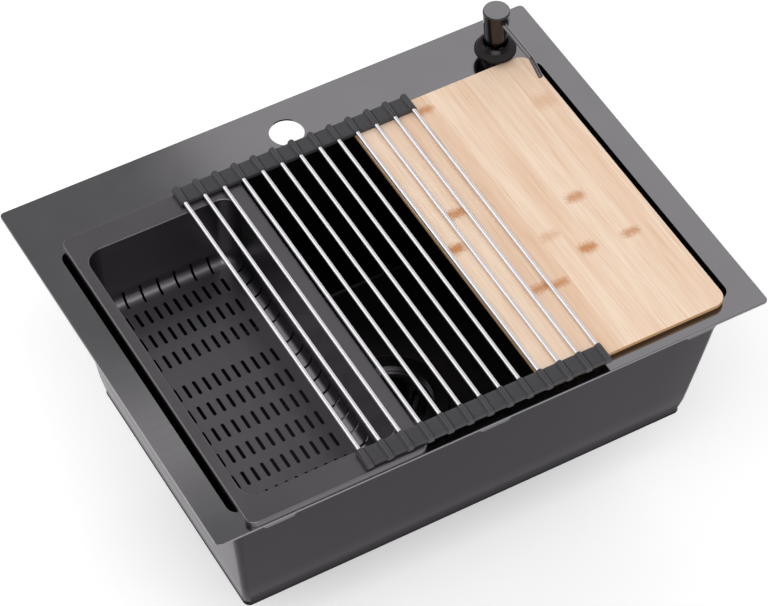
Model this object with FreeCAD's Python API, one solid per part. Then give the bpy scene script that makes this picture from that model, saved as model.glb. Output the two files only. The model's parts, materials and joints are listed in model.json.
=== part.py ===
import FreeCAD, Part
import math
import os
from collections import namedtuple

# A workstation kitchen sink: a flat deck plate with a deep welded bowl under its opening,
# a slotted colander and a cutting board that slide on the deck, a roll-up rack laid over
# them, and a soap dispenser. Millimetres. +Z is up, +X runs to the right of someone at the
# sink and +Y towards the wall. The origin is the tap hole's centre on the deck's top face.

Vector = FreeCAD.Vector
Rect = namedtuple("Rect", "left right front rear")
CUT_OVER = 1.0  # how far a cutting shape runs past what it cuts

# ---- deck plate ----
DECK_WIDTH = 580.0
DECK_DEPTH = 450.0
DECK_THICKNESS = 2.0
DECK_CORNER_R = 5.0
DECK_EDGE_R = 0.6
TAP_HOLE_R = 17.5
TAP_SETBACK = 40.0  # tap hole's centre to the deck's rear edge
SIDE_STRIP = 27.0  # deck left beside the opening
FRONT_STRIP = 23.5
REAR_STRIP = 74.0
OPENING_CORNER_R = 11.0

# ---- foam strips under the deck's side edges, which rest on the worktop ----
SEAL_STRIP_WIDTH = 16.0
SEAL_STRIP_THICKNESS = 2.0
SEAL_STRIP_INSET = 3.0  # deck's side edge to the strip
SEAL_STRIP_END_GAP = 12.0
SEAL_STRIP_CORNER_R = 2.0

# ---- bowl ----
BOWL_WALL = 1.2
BOWL_DEPTH = 191.0  # deck's underside to the floor's underside
BOWL_FLANGE = 4.5  # width welded under the deck round the opening
BOWL_FLOOR_R = 9.8  # inside, where a wall turns into the floor
BOWL_SIDE_LEAN = 24.0  # how far each wall leans inwards by the time it meets the floor
BOWL_FRONT_LEAN = 29.5
BOWL_REAR_LEAN = 25.0
PAD_THICKNESS = 3.0  # sound-deadening pad glued under the floor
PAD_MARGIN = 24.0
PAD_CORNER_R = 8.0
PAD_HOLE_GAP = 2.8

# ---- fixing tabs under the deck's front and rear edges ----
TAB_WIDTH = 33.0
TAB_SPACING = 221.5
TAB_CENTRE_OFFSET = -4.5
TAB_COUNT = 3
TAB_SHEET = 1.5
TAB_DROP = 7.0
TAB_INSET = 2.5  # the deck's edge overhangs the tab's face by this
TAB_FLANGE = 13.5
TAB_BEVEL = 3.0
TAB_SLIT_LENGTH = 14.0
TAB_SLIT_HEIGHT = 1.5

# ---- drain ----
DRAIN_HOLE_R = 45.0
RECESS_BORDER = 13.0  # stamped recess in the floor, beyond the drain hole
STRAINER_RIM_GAP = 1.0
STRAINER_FLANGE = 1.5
STRAINER_BEVEL = 0.8
DRAIN_GASKET = 1.5
DRAIN_GASKET_GAP = 1.5
THROAT_GAP = 0.6
THROAT_WALL = 1.5
THROAT_BEVEL = 1.2
LEDGE_DEPTH = 7.0  # the ledge that carries the basket, below the strainer's top
LEDGE_WIDTH = 3.9
CUP_STRAIGHT = 13.2
CUP_TAPER = 24.5
CUP_DRAW = 4.5  # how much smaller the cup's bottom is than its mouth, in radius
CUP_FLOOR_FALL = 1.5
CUP_WALL = 1.5
CUP_FLOOR = 2.0
SPOUT_R = 17.5
SPOUT_WALL = 2.5
SPOUT_LENGTH = 20.0
UNDER_WASHER = 2.5
WASHER_GAP = 0.4
UNDER_WASHER_WIDTH = 11.2
LOCK_NUT_GAP = 0.2
LOCK_NUT_HEIGHT = 12.0
LOCK_NUT_WALL = 11.4
BASKET_GAP = 0.5
BASKET_SEAT_GAP = 0.2
BASKET_RIM = 1.0
BASKET_SHEET = 0.8
BASKET_CUP_GAP = 3.0
BASKET_DRAW = 7.0
BASKET_FLOOR_GAP = 6.0
BASKET_SLOTS = 20
BASKET_SLOT_WIDTH = 3.0
BASKET_SLOT_MARGIN = 6.0
BASKET_HOLES = 12
BASKET_HOLE_R = 1.6
SEAL_R = 22.0
SEAL_THICKNESS = 3.0
KNOB_POST_R = 4.0
KNOB_R = 9.0
KNOB_HEIGHT = 4.0
KNOB_EDGE_R = 1.5
KNOB_RISE = 3.6  # the knob's top above the basket's rim
TAIL_WASHER = 1.5
TAIL_R = 16.0
TAIL_WALL = 1.4
TAIL_FLANGE = 2.0
TAIL_SHOULDER = 0.6
TAIL_SHOULDER_REACH = 1.0  # how far the shoulder shows below the slip nut
TAIL_LENGTH = 35.0  # plain end below the slip nut
SLIP_NUT_GAP = 0.2
SLIP_NUT_WALL = 5.8
SLIP_NUT_GRIP = 14.0
SLIP_NUT_LIP = 2.5
SLIP_NUT_LIP_GAP = 0.3

# ---- colander ----
SEAT_GAP = 0.2  # under what rests on the deck
LIP_HEIGHT = 6.8
LIP_WIDTH = 184.4
LIP_SIDE_GAP = 6.0  # opening's left edge to the lip
LIP_FRONT_LAP = 22.5  # how far the lip reaches over the deck, in front and behind
LIP_REAR_LAP = 10.0
LIP_CORNER_R = 10.0
LIP_EDGE_R = 1.8
LIP_LEFT_BAND = 12.0  # lip left of the basin
LIP_RIGHT_BAND = 14.9
COLANDER_SHEET = 1.2
BASIN_FRONT_GAP = 5.5  # opening's front edge to the basin's mouth
BASIN_REAR_GAP = 18.0
BASIN_CORNER_R = 17.0
BASIN_MOUTH_R = 1.5
BASIN_DEPTH = 83.0  # lip's top to the basin's floor
BASIN_BEND_R = 12.0
BASIN_SIDE_LEAN = 3.0
BASIN_FRONT_LEAN = 10.0
BASIN_REAR_LEAN = 3.0
SLOT_WIDTH = 3.5
SLOT_LENGTH = 17.7
SLOT_COLUMNS = 11
SLOT_COLUMN_MARGIN = 27.0  # basin's side edge to the first column's middle
SLOT_FIRST_ROW = 33.0  # basin's rear edge to the first row's middle
SLOT_LAST_ROW = 49.3  # basin's front edge to the last row's middle
SLOT_BAND_STEP = 41.6  # across the plain band between the two fields of slots
SLOT_REAR_ROWS = 3
SLOT_FRONT_ROWS = 6
SLIT_WIDTH = 2.5  # slits that cut round the bends
SIDE_SLIT_FIRST = 25.6  # basin's rear edge to the first slit
SIDE_SLIT_LAST = 40.8  # basin's front edge to the last slit
SIDE_SLIT_BAND_STEP = 28.6
SIDE_SLIT_REAR_COUNT = 5
SIDE_SLIT_FRONT_COUNT = 10
END_SLIT_FIRST = 17.6  # basin's left edge to the first slit
END_SLIT_LAST = 30.7  # basin's right edge to the last slit
END_SLIT_COUNT = 7

# ---- cutting board ----
BOARD_WIDTH = 201.0
BOARD_THICKNESS = 6.8
BOARD_SIDE_GAP = 9.0
BOARD_FRONT_LAP = 9.5
BOARD_REAR_LAP = 7.0
BOARD_CORNER_R = 14.0
BOARD_EDGE_R = 1.0
BOARD_UNDERCUT = 3.0

# ---- roll-up rack ----
ROD_COUNT = 13
ROD_R = 2.25
ROD_END = 18.0  # length of rod inside each sleeve
ROD_FIT = 0.05
SLEEVE_LENGTH = 21.5
SLEEVE_WALL = 1.25
SLEEVE_END_R = 1.5
WEB_SETBACK = 1.0
WEB_THICKNESS = 4.6
WEB_GAP = 0.4
END_WEB = 3.9  # how far the strips run beyond the first and last rods
STACK_GAP = 0.3  # under the rack, where it rests on the colander and the board
FIRST_ROD_REAR = 59.8  # colander's right edge to the first rod, at its two ends
FIRST_ROD_FRONT = 60.3
LAST_ROD_REAR = 64.2  # board's left edge to the last rod, at its two ends
LAST_ROD_FRONT = 63.4
REAR_MOUTH_GAP = 9.0  # opening's edge to the line where the rods enter the sleeves
FRONT_MOUTH_GAP = 1.6

# ---- soap dispenser ----
DISPENSER_INSET = 35.0  # its axis, inboard of the opening's right edge
COLLAR_BOARD_GAP = 1.0
DISPENSER_HOLE_R = 12.75
SHANK_GAP = 0.75
SHANK_WALL = 2.5
SHANK_LENGTH = 30.0
COLLAR_NECK_R = 14.0
COLLAR_NECK_TOP = 9.5
COLLAR_FLARE_R = 21.0
COLLAR_FLARE_LOW = 12.5
COLLAR_FLARE_TOP = 15.0
COLLAR_FLARE_EDGE = 1.5
COLLAR_UNDER_RISE = 1.0  # slope of the flare's underside
COLLAR_WAIST_R = 17.5
COLLAR_WAIST = 21.0
COLLAR_TOP = 24.5
COLLAR_TOP_WALL = 0.9
COLLAR_CHAMFER = 1.4
COLLAR_CHAMFER_DROP = 0.5
COLLAR_BORE_WALL = 1.7
BARREL_SEAT = 2.0
DECK_GASKET = 0.8
DECK_GASKET_GAP = 0.05
DECK_GASKET_INSET = 0.2
NUT_WASHER = 2.0
NUT_WASHER_WIDTH = 4.8
NUT_WASHER_GAP = 0.2
SHANK_NUT_GAP = 0.1
SHANK_NUT_WALL = 3.9
SHANK_NUT_HEIGHT = 8.0
BOTTLE_WALL = 1.5
BOTTLE_NECK_WALL = 2.1
BOTTLE_NECK_GAP = 2.0
BOTTLE_R = 21.0
BOTTLE_SHOULDER = 10.0
BOTTLE_HEIGHT = 110.0
BARREL_GAP = 0.2
BARREL_WALL = 1.6
BARREL_FLANGE = 2.0
BARREL_FLANGE_GAP = 0.1
BARREL_LENGTH = 47.0
BARREL_FLOOR = 2.0
BARREL_PORT_R = 1.5
BARREL_STOP = 0.5
BARREL_SPIGOT_R = 4.5
BARREL_SPIGOT = 8.0
DIP_TUBE_R = 2.5
DIP_TUBE_BORE_R = 1.5
DIP_TUBE_GRIP = 5.0
DIP_TUBE_FOOT_GAP = 2.5
CAP_THICKNESS = 2.5
STEM_R = 3.5
STEM_BORE_R = 1.6
STEM_FIT = 0.1
STEM_TOP = 39.9
PISTON_FIT = 0.1
PISTON_HEIGHT = 4.0
PISTON_TOP_BELOW = 20.0
SPRING_COIL_R = 5.0
SPRING_WIRE_R = 0.5
SPRING_TURNS = 6
SPRING_END_GAP = 0.1
HEAD_LOW = 23.0
HEAD_LOW_R = 11.0
HEAD_WIDE = 64.5
HEAD_WIDE_R = 13.8
HEAD_TOP = 66.5
HEAD_TOP_BEVEL = 0.8
HEAD_SOCKET_GAP = 0.1
HEAD_SOCKET_FIT = 0.05
CHANNEL_R = 1.8
NOZZLE_R = 2.5
NOZZLE_BORE_R = 1.6
NOZZLE_HEIGHT = 58.0
NOZZLE_ROOT = 6.0
NOZZLE_STRAIGHT = 63.0
NOZZLE_BEND_R = 12.0
NOZZLE_TURN = 25.0  # degrees down
NOZZLE_TIP = 19.0

# ---- outlines that several pieces share ----
deck = Rect(-DECK_WIDTH / 2, DECK_WIDTH / 2, TAP_SETBACK - DECK_DEPTH, TAP_SETBACK)
opening = Rect(deck.left + SIDE_STRIP, deck.right - SIDE_STRIP,
               deck.front + FRONT_STRIP, deck.rear - REAR_STRIP)
under_deck = -DECK_THICKNESS
bowl_lean = Rect(BOWL_SIDE_LEAN, -BOWL_SIDE_LEAN, BOWL_FRONT_LEAN, -BOWL_REAR_LEAN)
bowl_low = under_deck - BOWL_DEPTH
bowl_floor = bowl_low + BOWL_WALL
bowl_floor_rect = Rect(*(edge + lean for edge, lean in zip(opening, bowl_lean)))
drain = ((bowl_floor_rect.left + bowl_floor_rect.right) / 2,
         (bowl_floor_rect.front + bowl_floor_rect.rear) / 2)

lip_top = SEAT_GAP + LIP_HEIGHT
lip_left = opening.left + LIP_SIDE_GAP
lip = Rect(lip_left, lip_left + LIP_WIDTH, opening.front - LIP_FRONT_LAP, opening.rear + LIP_REAR_LAP)
basin = Rect(lip.left + LIP_LEFT_BAND, lip.right - LIP_RIGHT_BAND,
             opening.front + BASIN_FRONT_GAP, opening.rear - BASIN_REAR_GAP)
basin_lean = Rect(BASIN_SIDE_LEAN, -BASIN_SIDE_LEAN, BASIN_FRONT_LEAN, -BASIN_REAR_LEAN)
basin_floor = lip_top - BASIN_DEPTH
basin_floor_rect = Rect(*(edge + lean for edge, lean in zip(basin, basin_lean)))

board_right = opening.right - BOARD_SIDE_GAP
board = Rect(board_right - BOARD_WIDTH, board_right,
             opening.front - BOARD_FRONT_LAP, opening.rear + BOARD_REAR_LAP)
board_top = SEAT_GAP + BOARD_THICKNESS
dispenser = (opening.right - DISPENSER_INSET, board.rear + COLLAR_BOARD_GAP + COLLAR_NECK_R)

rack_low = max(lip_top, board_top) + STACK_GAP
rod_axis = rack_low + SLEEVE_WALL + ROD_R
rear_mouth = opening.rear - REAR_MOUTH_GAP
front_mouth = opening.front + FRONT_MOUTH_GAP

# ---- spacings between the first and last of each row ----
basin_width = basin.right - basin.left
basin_length = basin.rear - basin.front
slot_column_pitch = (basin_width - 2 * SLOT_COLUMN_MARGIN) / (SLOT_COLUMNS - 1)
slot_row_span = basin_length - SLOT_FIRST_ROW - SLOT_LAST_ROW - SLOT_BAND_STEP
slot_row_pitch = slot_row_span / (SLOT_REAR_ROWS + SLOT_FRONT_ROWS - 2)
side_slit_span = basin_length - SIDE_SLIT_FIRST - SIDE_SLIT_LAST - SIDE_SLIT_BAND_STEP
side_slit_pitch = side_slit_span / (SIDE_SLIT_REAR_COUNT + SIDE_SLIT_FRONT_COUNT - 2)
end_slit_pitch = (basin_width - END_SLIT_FIRST - END_SLIT_LAST) / (END_SLIT_COUNT - 1)
first_rod_rear = lip.right - FIRST_ROD_REAR
first_rod_front = lip.right - FIRST_ROD_FRONT
pitch_rear = (board.left + LAST_ROD_REAR - first_rod_rear) / (ROD_COUNT - 1)
pitch_front = (board.left + LAST_ROD_FRONT - first_rod_front) / (ROD_COUNT - 1)

# ---- heights and radii down the drain, from the bowl's floor ----
recess_r = DRAIN_HOLE_R + RECESS_BORDER
strainer_low = bowl_floor - STRAINER_FLANGE
recess_top = strainer_low - DRAIN_GASKET
recess_low = recess_top - BOWL_WALL
strainer_r = recess_r - STRAINER_RIM_GAP
throat_outer = DRAIN_HOLE_R - THROAT_GAP
throat_r = throat_outer - THROAT_WALL
ledge = bowl_floor - LEDGE_DEPTH
cup_r = throat_r - LEDGE_WIDTH
cup_knee = ledge - CUP_STRAIGHT
cup_bottom_r = cup_r - CUP_DRAW
cup_heel = cup_knee - CUP_TAPER
cup_floor = cup_heel - CUP_FLOOR_FALL
spout_top = cup_floor - CUP_FLOOR
spout_low = cup_floor - SPOUT_LENGTH
spout_outer = SPOUT_R + SPOUT_WALL
washer_low = recess_low - UNDER_WASHER
basket_rim = ledge + BASKET_SEAT_GAP
basket_r = cup_r - BASKET_CUP_GAP
basket_low = cup_floor + BASKET_FLOOR_GAP
tail_top = spout_low - TAIL_WASHER
tail_flange_low = tail_top - TAIL_FLANGE
slip_nut_low = tail_flange_low - SLIP_NUT_LIP
tail_shoulder_low = slip_nut_low - TAIL_SHOULDER_REACH
tail_low = tail_shoulder_low - TAIL_LENGTH

# ---- heights and radii of the dispenser, from the deck ----
shank_r = DISPENSER_HOLE_R - SHANK_GAP
shank_bore = shank_r - SHANK_WALL
collar_bore = COLLAR_NECK_R - COLLAR_BORE_WALL
nut_washer_low = under_deck - NUT_WASHER
shank_nut_low = nut_washer_low - SHANK_NUT_HEIGHT
bottle_top = shank_nut_low - BOTTLE_NECK_GAP
bottle_low = -SHANK_LENGTH - BOTTLE_SHOULDER - BOTTLE_HEIGHT
barrel_r = shank_bore - BARREL_GAP
barrel_bore = barrel_r - BARREL_WALL
barrel_floor = BARREL_FLOOR - BARREL_LENGTH
barrel_spigot_low = -BARREL_LENGTH - BARREL_SPIGOT
piston_low = -PISTON_TOP_BELOW - PISTON_HEIGHT
cap_low = BARREL_SEAT + BARREL_FLANGE


def grown(rect, margin):
    """The rectangle with each side moved outwards by margin."""
    return Rect(rect.left - margin, rect.right + margin, rect.front - margin, rect.rear + margin)


def edges_at(shape, height, inside=None):
    """The edges that lie flat at one height, or only those inside a rectangle."""
    found = []
    for edge in shape.Edges:
        box = edge.BoundBox
        level = abs(box.ZMin - height) < 0.01 and abs(box.ZMax - height) < 0.01
        if not level:
            continue
        middle = box.Center
        if inside and not (inside.left < middle.x < inside.right and inside.front < middle.y < inside.rear):
            continue
        found.append(edge)
    return found


def rounded_plate(rect, corner_r, low, high):
    """A level plate with rounded corners."""
    corner = Vector(rect.left, rect.front, low)
    box = Part.makeBox(rect.right - rect.left, rect.rear - rect.front, high - low, corner)
    upright = [edge for edge in box.Edges if edge.BoundBox.ZLength > (high - low) / 2]
    return box.makeFillet(corner_r, upright)


def rectangle(rect, height):
    """A closed rectangular wire at one height."""
    corners = [Vector(rect.left, rect.front, height), Vector(rect.right, rect.front, height),
               Vector(rect.right, rect.rear, height), Vector(rect.left, rect.rear, height)]
    return Part.makePolygon(corners + corners[:1])


def leaning_box(top, lean, nominal_depth, high, low, corner_r, bend_r):
    """A box whose four walls lean inwards by `lean` over nominal_depth, with rounded corners and bottom."""
    share = (high - low) / nominal_depth
    bottom = Rect(*(edge + shift * share for edge, shift in zip(top, lean)))
    box = Part.makeLoft([rectangle(top, high), rectangle(bottom, low)], True, True)
    upright = [edge for edge in box.Edges if edge.BoundBox.ZLength > (high - low) / 2]
    box = box.makeFillet(corner_r, upright)
    return box.makeFillet(bend_r, edges_at(box, low))


def turned(profile, centre=(0.0, 0.0)):
    """A solid turned about an upright axis from its (radius, height) outline."""
    points = [Vector(centre[0] + radius, centre[1], height) for radius, height in profile]
    face = Part.Face(Part.makePolygon(points + points[:1]))
    return face.revolve(Vector(centre[0], centre[1], 0), Vector(0, 0, 1), 360)


def ring(outer, inner, low, high, centre):
    """A plain ring or tube."""
    return turned([(inner, low), (outer, low), (outer, high), (inner, high)], centre)


def nut(sides, corner_r, bore_r, low, high, centre):
    """A nut with flat sides and a plain bore."""
    points = []
    for corner in range(sides):
        angle = 2 * math.pi * (corner + 0.5) / sides
        points.append(Vector(centre[0] + corner_r * math.cos(angle),
                             centre[1] + corner_r * math.sin(angle), low))
    blank = Part.Face(Part.makePolygon(points + points[:1])).extrude(Vector(0, 0, high - low))
    return blank.cut(Part.makeCylinder(bore_r, high - low, Vector(centre[0], centre[1], low)))


def stadium(x, y, width, length, low, high):
    """An upright slot-shaped prism, long along Y."""
    half = length / 2 - width / 2
    r = width / 2
    right_front = Vector(x + r, y - half, low)
    right_rear = Vector(x + r, y + half, low)
    left_rear = Vector(x - r, y + half, low)
    left_front = Vector(x - r, y - half, low)
    right = Part.LineSegment(right_front, right_rear)
    rear = Part.Arc(right_rear, Vector(x, y + half + r, low), left_rear)
    left = Part.LineSegment(left_rear, left_front)
    front = Part.Arc(left_front, Vector(x, y - half - r, low), right_front)
    outline = Part.Wire([piece.toShape() for piece in (right, rear, left, front)])
    return Part.Face(outline).extrude(Vector(0, 0, high - low))


def export(name, shape):
    """Write one piece to parts/NAME.step."""
    shape.exportStep(os.path.join("parts", name + ".step"))


def make_deck():
    """Flat plate with the bowl's opening, the tap hole and the dispenser hole."""
    plate = rounded_plate(deck, DECK_CORNER_R, under_deck, 0)
    plate = plate.makeFillet(DECK_EDGE_R, edges_at(plate, 0))
    hole_length = DECK_THICKNESS + 2 * CUT_OVER
    cuts = [rounded_plate(opening, OPENING_CORNER_R, under_deck - CUT_OVER, CUT_OVER)]
    cuts.append(Part.makeCylinder(TAP_HOLE_R, hole_length, Vector(0, 0, under_deck - CUT_OVER)))
    cuts.append(Part.makeCylinder(DISPENSER_HOLE_R, hole_length, Vector(*dispenser, under_deck - CUT_OVER)))
    return plate.cut(Part.makeCompound(cuts))


def make_seal_strips():
    """The two foam strips stuck under the deck's side edges."""
    front = deck.front + SEAL_STRIP_END_GAP
    rear = deck.rear - SEAL_STRIP_END_GAP
    low = under_deck - SEAL_STRIP_THICKNESS
    strips = []
    for left in (deck.left + SEAL_STRIP_INSET, deck.right - SEAL_STRIP_INSET - SEAL_STRIP_WIDTH):
        strip = Rect(left, left + SEAL_STRIP_WIDTH, front, rear)
        strips.append(rounded_plate(strip, SEAL_STRIP_CORNER_R, low, under_deck))
    return Part.makeCompound(strips)


def make_bowl():
    """Open box of sheet with leaning walls, a flange under the deck and the drain's stamped recess."""
    inner_depth = under_deck - bowl_floor
    outer = leaning_box(grown(opening, BOWL_WALL), bowl_lean, inner_depth, under_deck, bowl_low,
                        OPENING_CORNER_R + BOWL_WALL, BOWL_FLOOR_R + BOWL_WALL)
    flange = rounded_plate(grown(opening, BOWL_FLANGE), OPENING_CORNER_R + BOWL_FLANGE,
                           under_deck - BOWL_WALL, under_deck)
    stamping = Part.makeCylinder(recess_r + BOWL_WALL, bowl_floor - recess_low, Vector(*drain, recess_low))
    inner = leaning_box(opening, bowl_lean, inner_depth, under_deck, bowl_floor,
                        OPENING_CORNER_R, BOWL_FLOOR_R)
    recess = Part.makeCylinder(recess_r, bowl_floor - recess_top, Vector(*drain, recess_top))
    hole = Part.makeCylinder(DRAIN_HOLE_R, 2 * BOWL_WALL, Vector(*drain, recess_low - BOWL_WALL / 2))
    solid = outer.fuse([flange, stamping]).cut(inner).cut(recess).cut(hole)
    return solid.removeSplitter()


def make_sound_pad():
    """Rubber sheet glued under the bowl's floor, with a hole round the drain."""
    pad_rect = grown(bowl_floor_rect, -PAD_MARGIN)
    pad = rounded_plate(pad_rect, PAD_CORNER_R, bowl_low - PAD_THICKNESS, bowl_low)
    hole_r = recess_r + BOWL_WALL + PAD_HOLE_GAP
    hole_foot = Vector(*drain, bowl_low - PAD_THICKNESS - CUT_OVER)
    return pad.cut(Part.makeCylinder(hole_r, PAD_THICKNESS + 2 * CUT_OVER, hole_foot))


def make_tab(centre_x, edge_y, outward):
    """One folded tab: a flange under the deck and a bevelled, slotted lip hanging at its edge."""
    face_y = edge_y - outward * TAB_INSET
    back_y = face_y - outward * TAB_FLANGE
    flange = Part.makeBox(TAB_WIDTH, TAB_FLANGE, TAB_SHEET,
                          Vector(centre_x - TAB_WIDTH / 2, min(face_y, back_y), under_deck - TAB_SHEET))
    low = under_deck - TAB_DROP
    half = TAB_WIDTH / 2
    outline = [(-half, under_deck), (-half, low + TAB_BEVEL), (-half + TAB_BEVEL, low),
               (half - TAB_BEVEL, low), (half, low + TAB_BEVEL), (half, under_deck)]
    points = [Vector(centre_x + x, face_y, z) for x, z in outline]
    hanging = Part.Face(Part.makePolygon(points + points[:1])).extrude(Vector(0, -outward * TAB_SHEET, 0))
    slit_low = under_deck - TAB_SHEET - TAB_SLIT_HEIGHT
    slit_middle = face_y - outward * TAB_SHEET / 2
    slit = Part.makeBox(TAB_SLIT_LENGTH, 2 * TAB_SHEET, TAB_SLIT_HEIGHT,
                        Vector(centre_x - TAB_SLIT_LENGTH / 2, slit_middle - TAB_SHEET, slit_low))
    return flange.fuse(hanging).removeSplitter().cut(slit)


def make_tabs(edge_y, outward):
    """The row of tabs under one edge of the deck; outward is -1 in front and +1 behind."""
    tabs = []
    for place in range(TAB_COUNT):
        centre_x = TAB_CENTRE_OFFSET + (place - (TAB_COUNT - 1) / 2) * TAB_SPACING
        tabs.append(make_tab(centre_x, edge_y, outward))
    return Part.makeCompound(tabs)


def make_strainer_body():
    """Turned cup that hangs in the drain hole, with a ledge for the basket and a spout below."""
    outline = [(strainer_r, strainer_low), (strainer_r, bowl_floor - STRAINER_BEVEL),
               (strainer_r - STRAINER_BEVEL, bowl_floor), (throat_r + THROAT_BEVEL, bowl_floor),
               (throat_r, bowl_floor - THROAT_BEVEL), (throat_r, ledge), (cup_r, ledge), (cup_r, cup_knee),
               (cup_bottom_r, cup_heel), (SPOUT_R, cup_floor), (SPOUT_R, spout_low), (spout_outer, spout_low),
               (spout_outer, spout_top), (cup_bottom_r + CUP_WALL, spout_top),
               (cup_r + CUP_WALL, cup_knee - CUP_FLOOR), (throat_outer, cup_knee - CUP_FLOOR),
               (throat_outer, strainer_low)]
    return turned(outline, drain)


def make_basket():
    """Lift-out basket: a rim on the strainer's ledge and a slotted cup."""
    rim_r = throat_r - BASKET_GAP
    foot_r = basket_r - BASKET_DRAW
    floor_top = basket_low + BASKET_SHEET
    outline = [(0, basket_low), (foot_r, basket_low), (basket_r, basket_rim), (rim_r, basket_rim),
               (rim_r, basket_rim + BASKET_RIM), (basket_r - BASKET_SHEET, basket_rim + BASKET_RIM),
               (foot_r - BASKET_SHEET, floor_top), (0, floor_top)]
    shell = turned(outline, drain)
    centre = Vector(*drain, 0)
    cuts = []
    slot_low = basket_low + BASKET_SLOT_MARGIN
    slot_high = basket_rim - BASKET_SLOT_MARGIN
    for place in range(BASKET_SLOTS):
        slot = Part.makeBox(basket_r, BASKET_SLOT_WIDTH, slot_high - slot_low,
                            Vector(drain[0] + KNOB_R, drain[1] - BASKET_SLOT_WIDTH / 2, slot_low))
        slot.rotate(centre, Vector(0, 0, 1), 360 * place / BASKET_SLOTS)
        cuts.append(slot)
    ring_r = (SEAL_R + foot_r) / 2
    for place in range(BASKET_HOLES):
        hole = Part.makeCylinder(BASKET_HOLE_R, 3 * BASKET_SHEET,
                                 Vector(drain[0] + ring_r, drain[1], basket_low - BASKET_SHEET))
        hole.rotate(centre, Vector(0, 0, 1), 360 * place / BASKET_HOLES)
        cuts.append(hole)
    return shell.cut(Part.makeCompound(cuts))


def make_basket_knob():
    """Mushroom knob that stands on the basket's floor."""
    top = basket_rim + BASKET_RIM + KNOB_RISE
    outline = [(0, basket_low + BASKET_SHEET), (KNOB_POST_R, basket_low + BASKET_SHEET),
               (KNOB_POST_R, top - KNOB_HEIGHT), (KNOB_R, top - KNOB_HEIGHT), (KNOB_R, top), (0, top)]
    knob = turned(outline, drain)
    return knob.makeFillet(KNOB_EDGE_R, edges_at(knob, top))


def make_tailpiece():
    """Outlet pipe with the flange that the slip nut draws up."""
    bore = TAIL_R - TAIL_WALL
    shoulder_r = TAIL_R + TAIL_SHOULDER
    outline = [(bore, tail_top), (spout_outer, tail_top), (spout_outer, tail_flange_low),
               (shoulder_r, tail_flange_low), (shoulder_r, tail_shoulder_low), (TAIL_R, tail_shoulder_low),
               (TAIL_R, tail_low), (bore, tail_low)]
    return turned(outline, drain)


def make_slip_nut():
    """Hexagonal nut round the spout, with a lip under the tailpiece's flange."""
    bore = spout_outer + SLIP_NUT_GAP
    top = spout_low + SLIP_NUT_GRIP
    lip_bore = TAIL_R + TAIL_SHOULDER + SLIP_NUT_LIP_GAP
    blank = nut(6, bore + SLIP_NUT_WALL, lip_bore, slip_nut_low, top, drain)
    return blank.cut(Part.makeCylinder(bore, top - tail_flange_low, Vector(*drain, tail_flange_low)))


def make_drain():
    """Every fixed and lift-out piece of the drain."""
    export("strainer_body", make_strainer_body())
    gasket_inner = DRAIN_HOLE_R + DRAIN_GASKET_GAP
    export("strainer_gasket", ring(strainer_r, gasket_inner, recess_top, strainer_low, drain))
    washer_inner = throat_outer + WASHER_GAP
    export("strainer_under_washer",
           ring(washer_inner + UNDER_WASHER_WIDTH, washer_inner, washer_low, recess_low, drain))
    nut_bore = throat_outer + LOCK_NUT_GAP
    export("strainer_lock_nut",
           nut(8, nut_bore + LOCK_NUT_WALL, nut_bore, washer_low - LOCK_NUT_HEIGHT, washer_low, drain))
    export("strainer_basket", make_basket())
    seal_foot = Vector(*drain, basket_low - SEAL_THICKNESS)
    export("basket_seal", Part.makeCylinder(SEAL_R, SEAL_THICKNESS, seal_foot))
    export("basket_knob", make_basket_knob())
    export("tailpiece_washer", ring(spout_outer, SPOUT_R, tail_top, spout_low, drain))
    export("tailpiece", make_tailpiece())
    export("tailpiece_nut", make_slip_nut())


def slit_places(first, pitch, groups, band_step):
    """Distances of a row of slits that has a plain band between two groups."""
    places = []
    at = first
    for group in groups:
        for _ in range(group):
            places.append(at)
            at += pitch
        at += band_step - pitch
    return places


def make_colander_cuts():
    """The slots in the colander's floor and the slits round its four bends."""
    cuts = []
    below = COLANDER_SHEET + CUT_OVER
    low = basin_floor - below
    middle_x = (basin.left + basin.right) / 2
    rows = slit_places(SLOT_FIRST_ROW, slot_row_pitch, (SLOT_REAR_ROWS, SLOT_FRONT_ROWS), SLOT_BAND_STEP)
    for column in range(SLOT_COLUMNS):
        x = middle_x + (column - (SLOT_COLUMNS - 1) / 2) * slot_column_pitch
        for row in rows:
            cuts.append(stadium(x, basin.rear - row, SLOT_WIDTH, SLOT_LENGTH, low, basin_floor + CUT_OVER))
    reach = BASIN_BEND_R + below
    side_rows = slit_places(SIDE_SLIT_FIRST, side_slit_pitch, (SIDE_SLIT_REAR_COUNT, SIDE_SLIT_FRONT_COUNT),
                            SIDE_SLIT_BAND_STEP)
    floor = basin_floor_rect
    for row in side_rows:
        front_y = basin.rear - row - SLIT_WIDTH / 2
        for corner_x in (floor.left - below, floor.right + below - reach):
            cuts.append(Part.makeBox(reach, SLIT_WIDTH, reach, Vector(corner_x, front_y, low)))
    for place in range(END_SLIT_COUNT):
        left_x = basin.left + END_SLIT_FIRST + place * end_slit_pitch - SLIT_WIDTH / 2
        for corner_y in (floor.front - below, floor.rear + below - reach):
            cuts.append(Part.makeBox(SLIT_WIDTH, reach, reach, Vector(left_x, corner_y, low)))
    return Part.makeCompound(cuts)


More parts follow.
